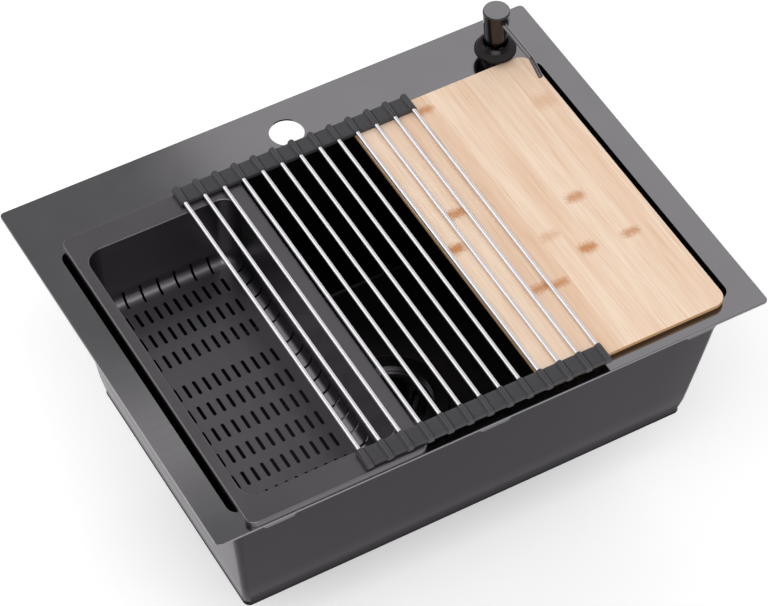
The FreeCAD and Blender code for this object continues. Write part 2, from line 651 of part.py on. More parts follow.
def make_colander():
    """Sheet basin with a wide rim whose edge is folded down onto the deck."""
    sheet = COLANDER_SHEET
    rim = rounded_plate(lip, LIP_CORNER_R, SEAT_GAP, lip_top)
    rim = rim.makeFillet(LIP_EDGE_R, edges_at(rim, lip_top))
    hollow = rounded_plate(grown(lip, -sheet), LIP_CORNER_R - sheet, SEAT_GAP, lip_top - sheet)
    hollow = hollow.makeFillet(LIP_EDGE_R - sheet, edges_at(hollow, lip_top - sheet))
    outer = leaning_box(grown(basin, sheet), basin_lean, BASIN_DEPTH, lip_top, basin_floor - sheet,
                        BASIN_CORNER_R + sheet, BASIN_BEND_R + sheet)
    inner = leaning_box(basin, basin_lean, BASIN_DEPTH, lip_top, basin_floor, BASIN_CORNER_R, BASIN_BEND_R)
    body = rim.cut(hollow).fuse(outer).removeSplitter().cut(inner)
    body = body.makeFillet(BASIN_MOUTH_R, edges_at(body, lip_top, grown(basin, sheet)))
    return body.cut(make_colander_cuts())


def make_board():
    """Solid board with rounded corners, softened edges and an undercut below."""
    slab = rounded_plate(board, BOARD_CORNER_R, SEAT_GAP, board_top)
    slab = slab.makeChamfer(BOARD_UNDERCUT, edges_at(slab, SEAT_GAP))
    return slab.makeFillet(BOARD_EDGE_R, edges_at(slab, board_top))


def make_sleeve(left, right):
    """One silicone sleeve in its own frame: the rod enters at y = 0 and the sleeve runs to +Y.

    Its web reaches to the left and right of the rod's axis.
    """
    ridge = Part.makeCylinder(ROD_R + SLEEVE_WALL, SLEEVE_LENGTH, Vector(0, 0, 0), Vector(0, 1, 0))
    end = [edge for edge in ridge.Edges if edge.BoundBox.YMin > SLEEVE_LENGTH - 0.01]
    ridge = ridge.makeFillet(SLEEVE_END_R, end)
    web = Part.makeBox(left + right, SLEEVE_LENGTH - WEB_SETBACK, WEB_THICKNESS,
                       Vector(-left, 0, -ROD_R - SLEEVE_WALL))
    bore_length = ROD_END + ROD_FIT + CUT_OVER
    bore = Part.makeCylinder(ROD_R + ROD_FIT, bore_length, Vector(0, -CUT_OVER, 0), Vector(0, 1, 0))
    return ridge.fuse(web).removeSplitter().cut(bore)


def make_rack():
    """Thirteen rods, each with a sleeve on both ends; neighbouring sleeves hinge on each other."""
    web_rear = (pitch_rear - WEB_GAP) / 2
    web_front = (pitch_front - WEB_GAP) / 2
    for place in range(ROD_COUNT):
        rear = Vector(first_rod_rear + place * pitch_rear, rear_mouth, rod_axis)
        front = Vector(first_rod_front + place * pitch_front, front_mouth, rod_axis)
        along = (rear - front).normalize()
        turn = math.degrees(math.atan2(-along.x, along.y))
        length = (rear - front).Length + 2 * ROD_END
        rod = Part.makeCylinder(ROD_R, length, front - along * ROD_END, along)
        first = place == 0
        last = place == ROD_COUNT - 1
        rear_sleeve = make_sleeve(END_WEB if first else web_rear, END_WEB if last else web_rear)
        rear_sleeve.rotate(Vector(0, 0, 0), Vector(0, 0, 1), turn)
        rear_sleeve.translate(rear)
        front_sleeve = make_sleeve(END_WEB if last else web_front, END_WEB if first else web_front)
        front_sleeve.rotate(Vector(0, 0, 0), Vector(0, 0, 1), turn + 180)
        front_sleeve.translate(front)
        export("rack_rod_%02d" % (place + 1), rod)
        export("rack_sleeves_%02d" % (place + 1), Part.makeCompound([front_sleeve, rear_sleeve]))


def make_collar():
    """Flared collar on the deck, in one piece with the threaded shank below it."""
    outline = [(shank_bore, -SHANK_LENGTH), (shank_r, -SHANK_LENGTH), (shank_r, DECK_GASKET),
               (COLLAR_NECK_R, DECK_GASKET), (COLLAR_NECK_R, COLLAR_NECK_TOP),
               (COLLAR_FLARE_R - COLLAR_FLARE_EDGE, COLLAR_NECK_TOP + COLLAR_UNDER_RISE),
               (COLLAR_FLARE_R, COLLAR_FLARE_LOW), (COLLAR_FLARE_R, COLLAR_FLARE_TOP),
               (COLLAR_WAIST_R, COLLAR_WAIST),
               (collar_bore + COLLAR_TOP_WALL + COLLAR_CHAMFER, COLLAR_TOP - COLLAR_CHAMFER_DROP),
               (collar_bore + COLLAR_TOP_WALL, COLLAR_TOP), (collar_bore, COLLAR_TOP),
               (collar_bore, BARREL_SEAT),
               (shank_bore, BARREL_SEAT)]
    return turned(outline, dispenser)


def make_bottle():
    """Blow-moulded bottle that screws onto the shank from below."""
    neck_inner = shank_r + SHANK_NUT_GAP
    neck_outer = neck_inner + BOTTLE_NECK_WALL
    shoulder = -SHANK_LENGTH - BOTTLE_SHOULDER
    inner_r = BOTTLE_R - BOTTLE_WALL
    heel = 2 * BOTTLE_WALL
    inner_heel = 1.5 * BOTTLE_WALL
    floor = bottle_low + BOTTLE_WALL
    outline = [(0, bottle_low), (BOTTLE_R - heel, bottle_low), (BOTTLE_R, bottle_low + heel),
               (BOTTLE_R, shoulder), (neck_outer, -SHANK_LENGTH), (neck_outer, bottle_top),
               (neck_inner, bottle_top), (neck_inner, -SHANK_LENGTH - BOTTLE_WALL),
               (inner_r, shoulder - BOTTLE_WALL), (inner_r, floor + inner_heel),
               (inner_r - inner_heel, floor), (0, floor)]
    return turned(outline, dispenser)


def make_barrel():
    """Pump barrel that hangs from the collar's seat, with a spigot for the dip tube."""
    flange_r = collar_bore - BARREL_FLANGE_GAP
    foot = -BARREL_LENGTH
    outline = [(BARREL_PORT_R, foot + BARREL_STOP), (BARREL_PORT_R, barrel_floor),
               (barrel_bore, barrel_floor), (barrel_bore, cap_low), (flange_r, cap_low),
               (flange_r, BARREL_SEAT), (barrel_r, BARREL_SEAT), (barrel_r, foot),
               (BARREL_SPIGOT_R, foot), (BARREL_SPIGOT_R, barrel_spigot_low),
               (DIP_TUBE_R, barrel_spigot_low), (DIP_TUBE_R, foot + BARREL_STOP)]
    return turned(outline, dispenser)


def make_stem():
    """Hollow stem with the piston at its foot."""
    piston_r = barrel_bore - PISTON_FIT
    outline = [(STEM_BORE_R, piston_low), (piston_r, piston_low), (piston_r, -PISTON_TOP_BELOW),
               (STEM_R, -PISTON_TOP_BELOW), (STEM_R, STEM_TOP), (STEM_BORE_R, STEM_TOP)]
    return turned(outline, dispenser)


def make_spring():
    """Return spring between the barrel's floor and the piston."""
    low = barrel_floor + SPRING_END_GAP + SPRING_WIRE_R
    height = piston_low - SPRING_END_GAP - SPRING_WIRE_R - low

    def on_coil(turn):
        angle = 2 * math.pi * turn
        return Vector(dispenser[0] + SPRING_COIL_R * math.cos(angle),
                      dispenser[1] + SPRING_COIL_R * math.sin(angle),
                      low + height * turn / SPRING_TURNS)

    step = 0.25
    starts = [step * place for place in range(round(SPRING_TURNS / step))]
    edges = [Part.Arc(on_coil(t), on_coil(t + step / 2), on_coil(t + step)).toShape() for t in starts]
    along = edges[0].tangentAt(edges[0].FirstParameter)
    section = Part.Wire(Part.makeCircle(SPRING_WIRE_R, on_coil(0), along))
    return Part.Wire(edges).makePipeShell([section], True, False)


def nozzle_pipe(radius, root):
    """A round bar along the nozzle's line: level, then bent down to the tip, towards -Y."""
    turn = math.radians(NOZZLE_TURN)
    start = Vector(0, -root, 0)
    bend_start = Vector(0, -NOZZLE_STRAIGHT, 0)

    def on_bend(angle):
        forward = NOZZLE_BEND_R * math.sin(angle)
        down = NOZZLE_BEND_R * (1 - math.cos(angle))
        return bend_start - Vector(0, forward, down)

    bend_end = on_bend(turn)
    tip = bend_end + Vector(0, -math.cos(turn), -math.sin(turn)) * NOZZLE_TIP
    edges = [Part.LineSegment(start, bend_start).toShape(),
             Part.Arc(bend_start, on_bend(turn / 2), bend_end).toShape(),
             Part.LineSegment(bend_end, tip).toShape()]
    section = Part.Wire(Part.makeCircle(radius, start, Vector(0, 1, 0)))
    pipe = Part.Wire(edges).makePipeShell([section], True, False)
    pipe.translate(Vector(*dispenser, NOZZLE_HEIGHT))
    return pipe


def make_head():
    """Tapered pump head with a socket for the stem and a channel to the nozzle."""
    outline = [(0, HEAD_LOW), (HEAD_LOW_R, HEAD_LOW), (HEAD_WIDE_R, HEAD_WIDE),
               (HEAD_WIDE_R - HEAD_TOP_BEVEL, HEAD_TOP), (0, HEAD_TOP)]
    socket_top = STEM_TOP + HEAD_SOCKET_GAP
    foot = HEAD_LOW - CUT_OVER
    socket = Part.makeCylinder(STEM_R + HEAD_SOCKET_FIT, socket_top - foot, Vector(*dispenser, foot))
    riser = Part.makeCylinder(CHANNEL_R, NOZZLE_HEIGHT + CHANNEL_R - foot, Vector(*dispenser, foot))
    passage = Part.makeCylinder(CHANNEL_R, NOZZLE_ROOT + CUT_OVER, Vector(*dispenser, NOZZLE_HEIGHT),
                                Vector(0, -1, 0))
    solid = turned(outline, dispenser).cut(socket).cut(riser).cut(passage)
    return solid.cut(nozzle_pipe(NOZZLE_R, NOZZLE_ROOT))


def make_dispenser():
    """Every piece of the soap dispenser."""
    gasket_inner = DISPENSER_HOLE_R + DECK_GASKET_GAP
    export("dispenser_gasket",
           ring(COLLAR_NECK_R - DECK_GASKET_INSET, gasket_inner, 0, DECK_GASKET, dispenser))
    export("dispenser_collar", make_collar())
    washer_inner = shank_r + NUT_WASHER_GAP
    export("dispenser_washer",
           ring(washer_inner + NUT_WASHER_WIDTH, washer_inner, nut_washer_low, under_deck, dispenser))
    nut_bore = shank_r + SHANK_NUT_GAP
    export("dispenser_nut",
           nut(6, nut_bore + SHANK_NUT_WALL, nut_bore, shank_nut_low, nut_washer_low, dispenser))
    export("dispenser_bottle", make_bottle())
    export("pump_barrel", make_barrel())
    cap_r = collar_bore - BARREL_FLANGE_GAP
    export("pump_cap", ring(cap_r, STEM_R + STEM_FIT, cap_low, cap_low + CAP_THICKNESS, dispenser))
    export("pump_stem", make_stem())
    export("pump_spring", make_spring())
    tube_top = barrel_spigot_low + DIP_TUBE_GRIP
    tube_low = bottle_low + BOTTLE_WALL + DIP_TUBE_FOOT_GAP
    export("dip_tube", ring(DIP_TUBE_R, DIP_TUBE_BORE_R, tube_low, tube_top, dispenser))
    export("pump_head", make_head())
    bore = nozzle_pipe(NOZZLE_BORE_R, NOZZLE_ROOT)
    export("pump_spout", nozzle_pipe(NOZZLE_R, NOZZLE_ROOT).cut(bore))


def main():
    """Build every piece and write it to parts/."""
    os.makedirs("parts", exist_ok=True)
    export("deck_plate", make_deck())
    export("side_seal_strips", make_seal_strips())
    export("bowl_shell", make_bowl())
    export("floor_sound_pad", make_sound_pad())
    export("front_clip_tabs", make_tabs(deck.front, -1))
    export("rear_clip_tabs", make_tabs(deck.rear, 1))
    make_drain()
    export("colander", make_colander())
    export("cutting_board", make_board())
    make_rack()
    make_dispenser()


main()
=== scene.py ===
"""Workstation kitchen sink: the visible surfaces, their finishes, and the studio around them.

Lengths are in millimetres in the fields below and become metres where a mesh is made. The frame is
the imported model's: +Z up, +X to the right of someone at the sink, +Y towards the wall, and the
origin at the tap hole's centre on the deck's top face.
"""
from __future__ import annotations

import json
import logging
import math
from dataclasses import dataclass, field
from enum import Enum
from typing import Sequence, Union

import bmesh
import bpy
from mathutils import Matrix, Vector

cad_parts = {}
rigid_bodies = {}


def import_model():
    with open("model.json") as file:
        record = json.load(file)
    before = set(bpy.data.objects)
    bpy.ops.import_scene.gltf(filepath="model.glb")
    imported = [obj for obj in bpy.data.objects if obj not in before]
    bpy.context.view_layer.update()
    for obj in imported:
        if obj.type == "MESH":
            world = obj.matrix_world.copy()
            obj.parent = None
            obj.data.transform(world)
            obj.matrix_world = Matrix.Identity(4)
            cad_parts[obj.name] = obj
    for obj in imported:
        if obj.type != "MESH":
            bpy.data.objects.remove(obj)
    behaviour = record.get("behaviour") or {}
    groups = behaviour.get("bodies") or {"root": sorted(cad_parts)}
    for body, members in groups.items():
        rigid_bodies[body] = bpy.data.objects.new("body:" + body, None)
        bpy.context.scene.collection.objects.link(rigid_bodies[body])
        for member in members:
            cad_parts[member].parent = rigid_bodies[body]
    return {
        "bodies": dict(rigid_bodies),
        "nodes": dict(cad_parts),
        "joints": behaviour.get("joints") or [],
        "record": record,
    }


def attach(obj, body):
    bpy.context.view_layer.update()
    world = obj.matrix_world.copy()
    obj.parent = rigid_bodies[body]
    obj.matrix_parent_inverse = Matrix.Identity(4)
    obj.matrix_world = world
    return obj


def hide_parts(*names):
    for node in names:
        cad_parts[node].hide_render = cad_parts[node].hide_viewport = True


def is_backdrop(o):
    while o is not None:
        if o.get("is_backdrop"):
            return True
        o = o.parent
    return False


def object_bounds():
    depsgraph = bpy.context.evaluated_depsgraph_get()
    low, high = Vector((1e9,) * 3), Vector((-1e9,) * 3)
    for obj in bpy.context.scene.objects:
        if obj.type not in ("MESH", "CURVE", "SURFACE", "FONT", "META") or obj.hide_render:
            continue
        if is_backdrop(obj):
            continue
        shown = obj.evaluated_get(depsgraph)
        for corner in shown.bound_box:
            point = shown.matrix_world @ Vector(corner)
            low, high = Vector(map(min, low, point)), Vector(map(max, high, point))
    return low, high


LOG = logging.getLogger("sink")
MM = 0.001
SMOOTH_BELOW = math.radians(32.0)

CIRCLE_STEPS = 32  # runs of a thin bar's or hole's circle

Flat = tuple[float, float]
Point = tuple[float, float, float]
Face = tuple[int, ...]
Mesh = tuple[list[Point], list[Face]]
Tree = bpy.types.NodeTree
Socket = bpy.types.NodeSocket
SocketValue = Union[float, tuple, Socket]


class Slot(Enum):
    """The record's material slots, listed here but not used."""

    COATED_STEEL = "coated_steel"
    DISPENSER_METAL = "dispenser_metal"
    SILICONE = "silicone"


class Side(Enum):
    """Which end of the rack a silicone strip holds; the value is its outward direction along Y."""

    FRONT = -1.0
    REAR = 1.0


# ---- materials ----


def linear(hex_colour: str) -> tuple[float, float, float, float]:
    """Turn an sRGB colour, "#RRGGBB", into linear red, green and blue and an alpha of 1."""
    channels = []
    for start in (1, 3, 5):
        value = int(hex_colour[start:start + 2], 16) / 255.0
        channels.append(value / 12.92 if value <= 0.04045 else ((value + 0.055) / 1.055) ** 2.4)
    return (channels[0], channels[1], channels[2], 1.0)


def add_node(tree: Tree, kind: str, inputs: dict[Union[str, int], SocketValue] | None = None,
             **settings: object) -> bpy.types.Node:
    """Add a node with its settings, socket values and links.

    Args:
        tree: the node tree to add to.
        kind: the node's type name without "ShaderNode".
        inputs: for each input socket, by name or number, a value or another node's output socket.
        settings: the node's own properties.

    Returns:
        The new node.
    """
    node = tree.nodes.new("ShaderNode" + kind)
    for name, value in settings.items():
        setattr(node, name, value)
    for key, value in (inputs or {}).items():
        if isinstance(value, Socket):
            tree.links.new(value, node.inputs[key])
        else:
            node.inputs[key].default_value = value
    return node


def spread(tree: Tree, value: Socket, source: Flat, target: Flat, kind: str = "LINEAR") -> Socket:
    """Return a value carried from one range to another, "LINEAR" or "SMOOTHSTEP"."""
    return add_node(tree, "MapRange", {"Value": value, "From Min": source[0], "From Max": source[1],
                                       "To Min": target[0], "To Max": target[1]},
                    interpolation_type=kind).outputs[0]


def blend(tree: Tree, share: SocketValue, first: SocketValue, second: SocketValue) -> Socket:
    """Return a mix of two colours, where a share of 0 gives the first."""
    return add_node(tree, "Mix", {0: share, 6: first, 7: second}, data_type="RGBA").outputs[2]


@dataclass(frozen=True)
class Finish:
    """A finish that dresses pieces; each kind of finish fills in its own nodes.

    Attributes:
        name: the material's name, from the real material and how its surface was made.
    """

    name: str

    def material(self) -> bpy.types.Material:
        """Return this finish's material, made the first time that it is asked for."""
        found = bpy.data.materials.get(self.name)
        if found:
            return found
        material = bpy.data.materials.new(self.name)
        material.use_nodes = True
        tree = material.node_tree
        tree.nodes.clear()
        output = add_node(tree, "OutputMaterial")
        tree.links.new(self.surface(tree), output.inputs["Surface"])
        return material

    def surface(self, tree: Tree) -> Socket:
        """Build the finish's nodes and return the shader socket of its surface."""
        raise NotImplementedError

    def place(self, tree: Tree, sizes: Point) -> Socket:
        """Return the object's own coordinates, one unit being `sizes` millimetres along each axis."""
        coordinates = add_node(tree, "TexCoord")
        scale = tuple(1.0 / (size * MM) for size in sizes)
        return add_node(tree, "Mapping", {"Vector": coordinates.outputs["Object"], "Scale": scale}).outputs[0]

    def noise(self, tree: Tree, sizes: Point, detail: float = 3.0) -> Socket:
        """Return noise from 0 to 1 whose features are `sizes` millimetres along each axis."""
        return add_node(tree, "TexNoise", {"Vector": self.place(tree, sizes), "Scale": 1.0, "Detail": detail,
                                           "Roughness": 0.55}).outputs["Fac"]


@dataclass(frozen=True)
class CoatedSteel(Finish):
    """Stainless sheet with a dark vapour-deposited coating over a fine brushed grain.

    The eye gets a cool dark grey mirror, softened and faintly streaked along the brushing, with
    soft patches where hands have touched it.

    Attributes:
        colour: what the coating reflects head-on.
        worn_colour: the same where it is a little paler.
        roughness: lowest and highest roughness.
        grain: millimetres of grain along X and across it.
        grain_depth: strength of the grain's bump.
        edge_tint: what the coating keeps of the light that grazes it.
    """

    colour: str = "#828083"
    worn_colour: str = "#8C8A8D"
    roughness: tuple[float, float] = (0.09, 0.15)
    grain: tuple[float, float] = (60.0, 1.2)
    grain_depth: float = 0.05
    edge_tint: str = "#FFFFFF"

    def surface(self, tree: Tree) -> Socket:
        """Build the coating; see Finish.surface."""
        # The real grain is about 0.35 mm wide; it is drawn 1.2 mm wide so that it shows at all.
        grain = self.noise(tree, (self.grain[0], self.grain[1], self.grain[1]), 2.0)
        smudge = self.noise(tree, (55.0, 55.0, 55.0), 3.0)
        colour = blend(tree, smudge, linear(self.colour), linear(self.worn_colour))
        streaked = add_node(tree, "Math", {0: smudge, 1: grain}, operation="ADD")
        roughness = spread(tree, streaked.outputs[0], (0.6, 1.4), self.roughness)
        bump = add_node(tree, "Bump", {"Strength": self.grain_depth, "Distance": 0.0002, "Height": grain})
        return add_node(tree, "BsdfPrincipled", {
            "Base Color": colour, "Metallic": 1.0, "Roughness": roughness,
            "Specular Tint": linear(self.edge_tint), "Normal": bump.outputs[0]}).outputs[0]


@dataclass(frozen=True)
class GroundSteel(Finish):
    """Stainless tube or wire, ground and polished to a satin shine.

    The eye gets an almost white line along each rod, greyer at its sides.

    Attributes:
        colour: what the steel reflects head-on.
        roughness: lowest and highest roughness.
        lines: millimetres between the polishing lines, which run round the rods.
    """

    colour: str = "#E2E0E3"
    roughness: tuple[float, float] = (0.27, 0.31)
    lines: float = 4.0

    def surface(self, tree: Tree) -> Socket:
        """Build the steel; see Finish.surface."""
        # Real polishing lines are about 0.1 mm apart. They are drawn 4 mm apart and faint, so that
        # they show without flicker.
        lines = self.noise(tree, (20.0, self.lines, 20.0), 2.0)
        roughness = spread(tree, lines, (0.3, 0.7), self.roughness)
        bump = add_node(tree, "Bump", {"Strength": 0.02, "Distance": 0.00005, "Height": lines})
        return add_node(tree, "BsdfPrincipled", {
            "Base Color": linear(self.colour), "Metallic": 1.0, "Roughness": roughness,
            "Normal": bump.outputs[0]}).outputs[0]


@dataclass(frozen=True)
class Moulding(Finish):
    """A moulded plastic or rubber with a fine matt skin.

    The eye gets an even colour, a broad soft sheen, and a slight unevenness.

    Attributes:
        colour: the body colour.
        pale_colour: the colour where the skin is dusty or rubbed.
        roughness: the skin's roughness.
        ior: refractive index.
        skin: millimetres across one grain of the skin, drawn coarser than the real 0.1 mm.
        skin_depth: strength of the skin's bump.
        transmission: how much light goes through, for a thin translucent wall.
    """

    colour: str = "#4B494C"
    pale_colour: str = "#545255"
    roughness: float = 0.5
    ior: float = 1.45
    skin: float = 1.0
    skin_depth: float = 0.08
    transmission: float = 0.0

    def surface(self, tree: Tree) -> Socket:
        """Build the moulding; see Finish.surface."""
        patches = self.noise(tree, (14.0, 14.0, 14.0), 4.0)
        colour = blend(tree, patches, linear(self.colour), linear(self.pale_colour))
        skin = self.noise(tree, (self.skin, self.skin, self.skin), 2.0)
        bump = add_node(tree, "Bump", {"Strength": self.skin_depth, "Distance": 0.0002, "Height": skin})
        return add_node(tree, "BsdfPrincipled", {
            "Base Color": colour, "Roughness": self.roughness, "IOR": self.ior,
            "Transmission Weight": self.transmission, "Normal": bump.outputs[0]}).outputs[0]


@dataclass(frozen=True)
class Knot:
    """A node of the bamboo, where a strip darkens across its width.

    Attributes:
        x, y: its middle in the part's frame, in millimetres.
        width, length: its size across and along the strip.
        strength: how dark it is, from 0 to 1.
    """

    x: float
    y: float
    width: float
    length: float
    strength: float


@dataclass(frozen=True)
class Bamboo(Finish):
    """Laminated bamboo strips, sanded and oiled.

    The eye gets pale straw strips that differ slightly, fine fibres along them, and a few brown
    nodes; every face that doesn't face up is painted darker, as painted shade on the sides and underside.

    Attributes:
        light, dark: the palest and darkest strips.
        fibre: the colour of the fibres.
        knot: the colour of the nodes.
        side: the colour of the board's sides.
        strip: width of a strip in millimetres.
        first_line: where the first glue line is, along X in millimetres.
        tint_seed: picks which strips come out paler.
        knots: where the nodes are.
    """

    light: str = "#F8E0C9"
    dark: str = "#EAC6A9"
    fibre: str = "#D8AD82"
    knot: str = "#C58148"
    side: str = "#C9A072"
    strip: float = 21.5
    first_line: float = 53.0
    tint_seed: float = 40.0
    knots: tuple[Knot, ...] = ()

    def surface(self, tree: Tree) -> Socket:
        """Build the bamboo; see Finish.surface."""

        def maths(operation: str, *values: SocketValue) -> Socket:
            return add_node(tree, "Math", dict(enumerate(values)), operation=operation).outputs[0]

        def mapped(value: Socket, start: float, end: float, low: float, high: float) -> Socket:
            return spread(tree, value, (start, end), (low, high), "SMOOTHSTEP")

        place = add_node(tree, "SeparateXYZ", {0: self.place(tree, (1.0, 1.0, 1.0))})
        across, along, up = place.outputs
        lines = maths("DIVIDE", maths("SUBTRACT", across, self.first_line), self.strip)
        strip = maths("FLOOR", lines)
        tint = add_node(tree, "TexWhiteNoise", {"W": maths("ADD", strip, self.tint_seed)},
                        noise_dimensions="1D").outputs["Value"]

        def streaks(width: float, length: float, detail: float) -> Socket:
            vector = add_node(tree, "CombineXYZ", {
                0: maths("DIVIDE", across, width), 1: maths("DIVIDE", along, length),
                2: maths("MULTIPLY", strip, 5.3)}).outputs[0]
            return add_node(tree, "TexNoise", {"Vector": vector, "Scale": 1.0, "Detail": detail,
                                               "Roughness": 0.6}).outputs["Fac"]

        broad = streaks(9.0, 140.0, 2.0)
        fine = streaks(0.9, 70.0, 3.0)
        tone = maths("ADD", maths("MULTIPLY", tint, 0.4), maths("MULTIPLY", broad, 0.8))
        colour = blend(tree, mapped(tone, 0.25, 0.95, 0.0, 1.0), linear(self.light), linear(self.dark))
        colour = blend(tree, mapped(fine, 0.50, 0.72, 0.0, 0.62), colour, linear(self.fibre))
        # A glue line is 0.1 mm wide; it is drawn 0.5 mm wide and faint so that it shows.
        beside = maths("PINGPONG", maths("FRACT", lines), 0.5)
        colour = blend(tree, mapped(beside, 0.0, 0.5 / self.strip, 0.16, 0.0), colour, linear(self.fibre))
        blotch = self.noise(tree, (3.4, 3.4, 3.4), 3.0)
        for knot in self.knots:
            sideways = maths("DIVIDE", maths("SUBTRACT", across, knot.x), knot.width / 2)
            lengthways = maths("DIVIDE", maths("SUBTRACT", along, knot.y), knot.length / 2)
            distance = maths("SQRT", maths("ADD", maths("POWER", maths("ABSOLUTE", sideways), 4.0),
                                           maths("MULTIPLY", lengthways, lengthways)))
            ragged = maths("ADD", distance, maths("MULTIPLY", maths("SUBTRACT", blotch, 0.5), 1.7))
            colour = blend(tree, mapped(ragged, 1.5, 0.1, 0.0, knot.strength), colour, linear(self.knot))
        # Painted shade: the less a face points up, the more it takes the darker side colour.
        normal = add_node(tree, "NewGeometry").outputs["Normal"]
        facing = add_node(tree, "SeparateXYZ", {0: normal}).outputs[2]
        colour = blend(tree, mapped(facing, 0.55, 0.9, 1.0, 0.0), colour, linear(self.side))
        bump = add_node(tree, "Bump", {"Strength": 0.12, "Distance": 0.0002, "Height": fine})
        return add_node(tree, "BsdfPrincipled", {
            "Base Color": colour, "Roughness": mapped(fine, 0.3, 0.7, 0.46, 0.60), "IOR": 1.46,
            "Normal": bump.outputs[0]}).outputs[0]


@dataclass(frozen=True)
class StageFloor(Finish):
    """Plain white paper roll under the sink; it looks white and still takes a shadow.

    Attributes:
        colour: the paper.
        glow: added where a camera, a metal or a clear piece sees the paper, so that it stays white.
    """

    colour: str = "#F4F4F4"
    glow: float = 0.32

    def surface(self, tree: Tree) -> Socket:
        """Build the paper; see Finish.surface."""
        rays = add_node(tree, "LightPath")
        seen = rays.outputs["Is Camera Ray"]
        for name in ("Is Glossy Ray", "Is Transmission Ray"):
            seen = add_node(tree, "Math", {0: seen, 1: rays.outputs[name]}, operation="MAXIMUM").outputs[0]
        strength = add_node(tree, "Math", {0: seen, 1: self.glow}, operation="MULTIPLY").outputs[0]
        paper = add_node(tree, "BsdfDiffuse", {"Color": linear(self.colour)})
        glow = add_node(tree, "Emission", {"Color": (1.0, 1.0, 1.0, 1.0), "Strength": strength})
        return add_node(tree, "AddShader", {0: paper.outputs[0], 1: glow.outputs[0]}).outputs[0]


DECK_COATING = CoatedSteel("gunmetal_coated_brushed_steel")
OUTER_COATING = CoatedSteel("gunmetal_coated_steel_outside", "#29272A", "#2E2C2F", (0.17, 0.23),
                            edge_tint="#E7E4E7")
# Painted shade: the bowl's inside takes a darker, rougher copy of the deck's coating, so that the deep bowl
# reads black.
INNER_PAINTED_SHADE_COATING = CoatedSteel("coated_steel_inside_painted_shade", "#302C2F", "#363235", (0.36, 0.46))
COLANDER_COATING = CoatedSteel("gunmetal_coated_steel_colander", "#666366", "#6E6B6F", (0.30, 0.38))
TAB_COATING = CoatedSteel("gunmetal_coated_folded_steel", "#6B6A6D", "#747276", (0.28, 0.36))
DRAIN_COATING = CoatedSteel("gunmetal_coated_turned_steel", "#7A777A", "#848184", (0.18, 0.28), (1.5, 1.5))
POLISHED_COATING = CoatedSteel("gunmetal_coated_polished_steel", "#3D3A3A", "#444040", (0.13, 0.19),
                               (30.0, 2.0), 0.02)
COLLAR_COATING = CoatedSteel("gunmetal_coated_satin_steel", "#2C2A2A", "#322F2F", (0.24, 0.30),
                             (30.0, 2.0), 0.02, "#C9C6C8")
TUBE_COATING = CoatedSteel("gunmetal_coated_bent_tube", "#6C696C", "#747174", (0.10, 0.15),
                           (30.0, 2.0), 0.02)
ROD_STEEL = GroundSteel("ground_stainless_rod")
SPRING_STEEL = GroundSteel("drawn_stainless_spring_wire", "#B8B8BC", (0.22, 0.3), 0.6)
SILICONE = Moulding("moulded_silicone", "#373538", "#403E41", 0.42, 1.45, 1.0, 0.06)
SEAL_RUBBER = Moulding("moulded_black_rubber", "#1C1C1D", "#252526", 0.75, 1.52, 0.8, 0.2)
PAD_RUBBER = Moulding("matt_bitumen_rubber_sheet", "#29292B", "#333336", 0.9, 1.52, 3.0, 0.5)
POLYPROPYLENE = Moulding("moulded_polypropylene", "#D8D8D4", "#E2E2DF", 0.42, 1.49, 1.2, 0.06)
PUMP_PLASTIC = Moulding("moulded_white_polypropylene", "#E4E4DF", "#ECECE8", 0.38, 1.49, 1.2, 0.05)
POLYETHYLENE = Moulding("blow_moulded_polyethylene", "#E2E8E9", "#EEF1F1", 0.34, 1.51, 9.0, 0.10, 0.45)
BAMBOO = Bamboo("laminated_bamboo_oiled", knots=(
    Knot(127.0, -46.0, 23.0, 11.0, 0.75),
    Knot(236.0, -92.0, 26.0, 22.0, 0.30),
    Knot(197.0, -215.0, 22.0, 13.0, 0.75),
    Knot(150.0, -246.0, 22.0, 13.0, 0.35),
    Knot(219.0, -279.0, 21.0, 11.0, 0.70),
    Knot(174.0, -276.0, 20.0, 14.0, 0.90),
    Knot(87.0, -178.0, 20.0, 13.0, 0.85),
    Knot(64.0, -217.0, 19.0, 14.0, 0.95),
    Knot(109.0, -297.0, 21.0, 12.0, 0.80),
    Knot(128.0, -301.0, 20.0, 11.0, 0.75)))
PAPER = StageFloor("white_paper_roll")


# ---- mesh helpers ----


def add_object(name: str, data: bpy.types.ID) -> bpy.types.Object:
    """Put a mesh, lamp or camera into the scene as an object."""
    added = bpy.data.objects.new(name, data)
    bpy.context.scene.collection.objects.link(added)
    return added


def make_object(name: str, points: Sequence[Point], faces: Sequence[Face], finishes: Sequence[Finish],
                finish_of_face: Sequence[int] | None = None) -> bpy.types.Object:
    """Make a mesh object from points in millimetres.

    Args:
        name: the piece's name.
        points: the mesh's points in the part's frame.
        faces: the mesh's faces.
        finishes: the finishes, one for each material slot.
        finish_of_face: the slot of each face, or None where all take the first.

    Returns:
        The new object, shaded smooth but for its sharp edges.
    """
    mesh = bpy.data.meshes.new(name)
    mesh.from_pydata([(x * MM, y * MM, z * MM) for x, y, z in points], [], faces)
    for finish in finishes:
        mesh.materials.append(finish.material())
    if finish_of_face is not None:
        mesh.polygons.foreach_set("material_index", finish_of_face)
    made = bmesh.new()
    made.from_mesh(mesh)
    bmesh.ops.recalc_face_normals(made, faces=made.faces)
    made.to_mesh(mesh)
    made.free()
    mesh.shade_smooth()
    mesh.set_sharp_from_angle(angle=SMOOTH_BELOW)
    return add_object(name, mesh)


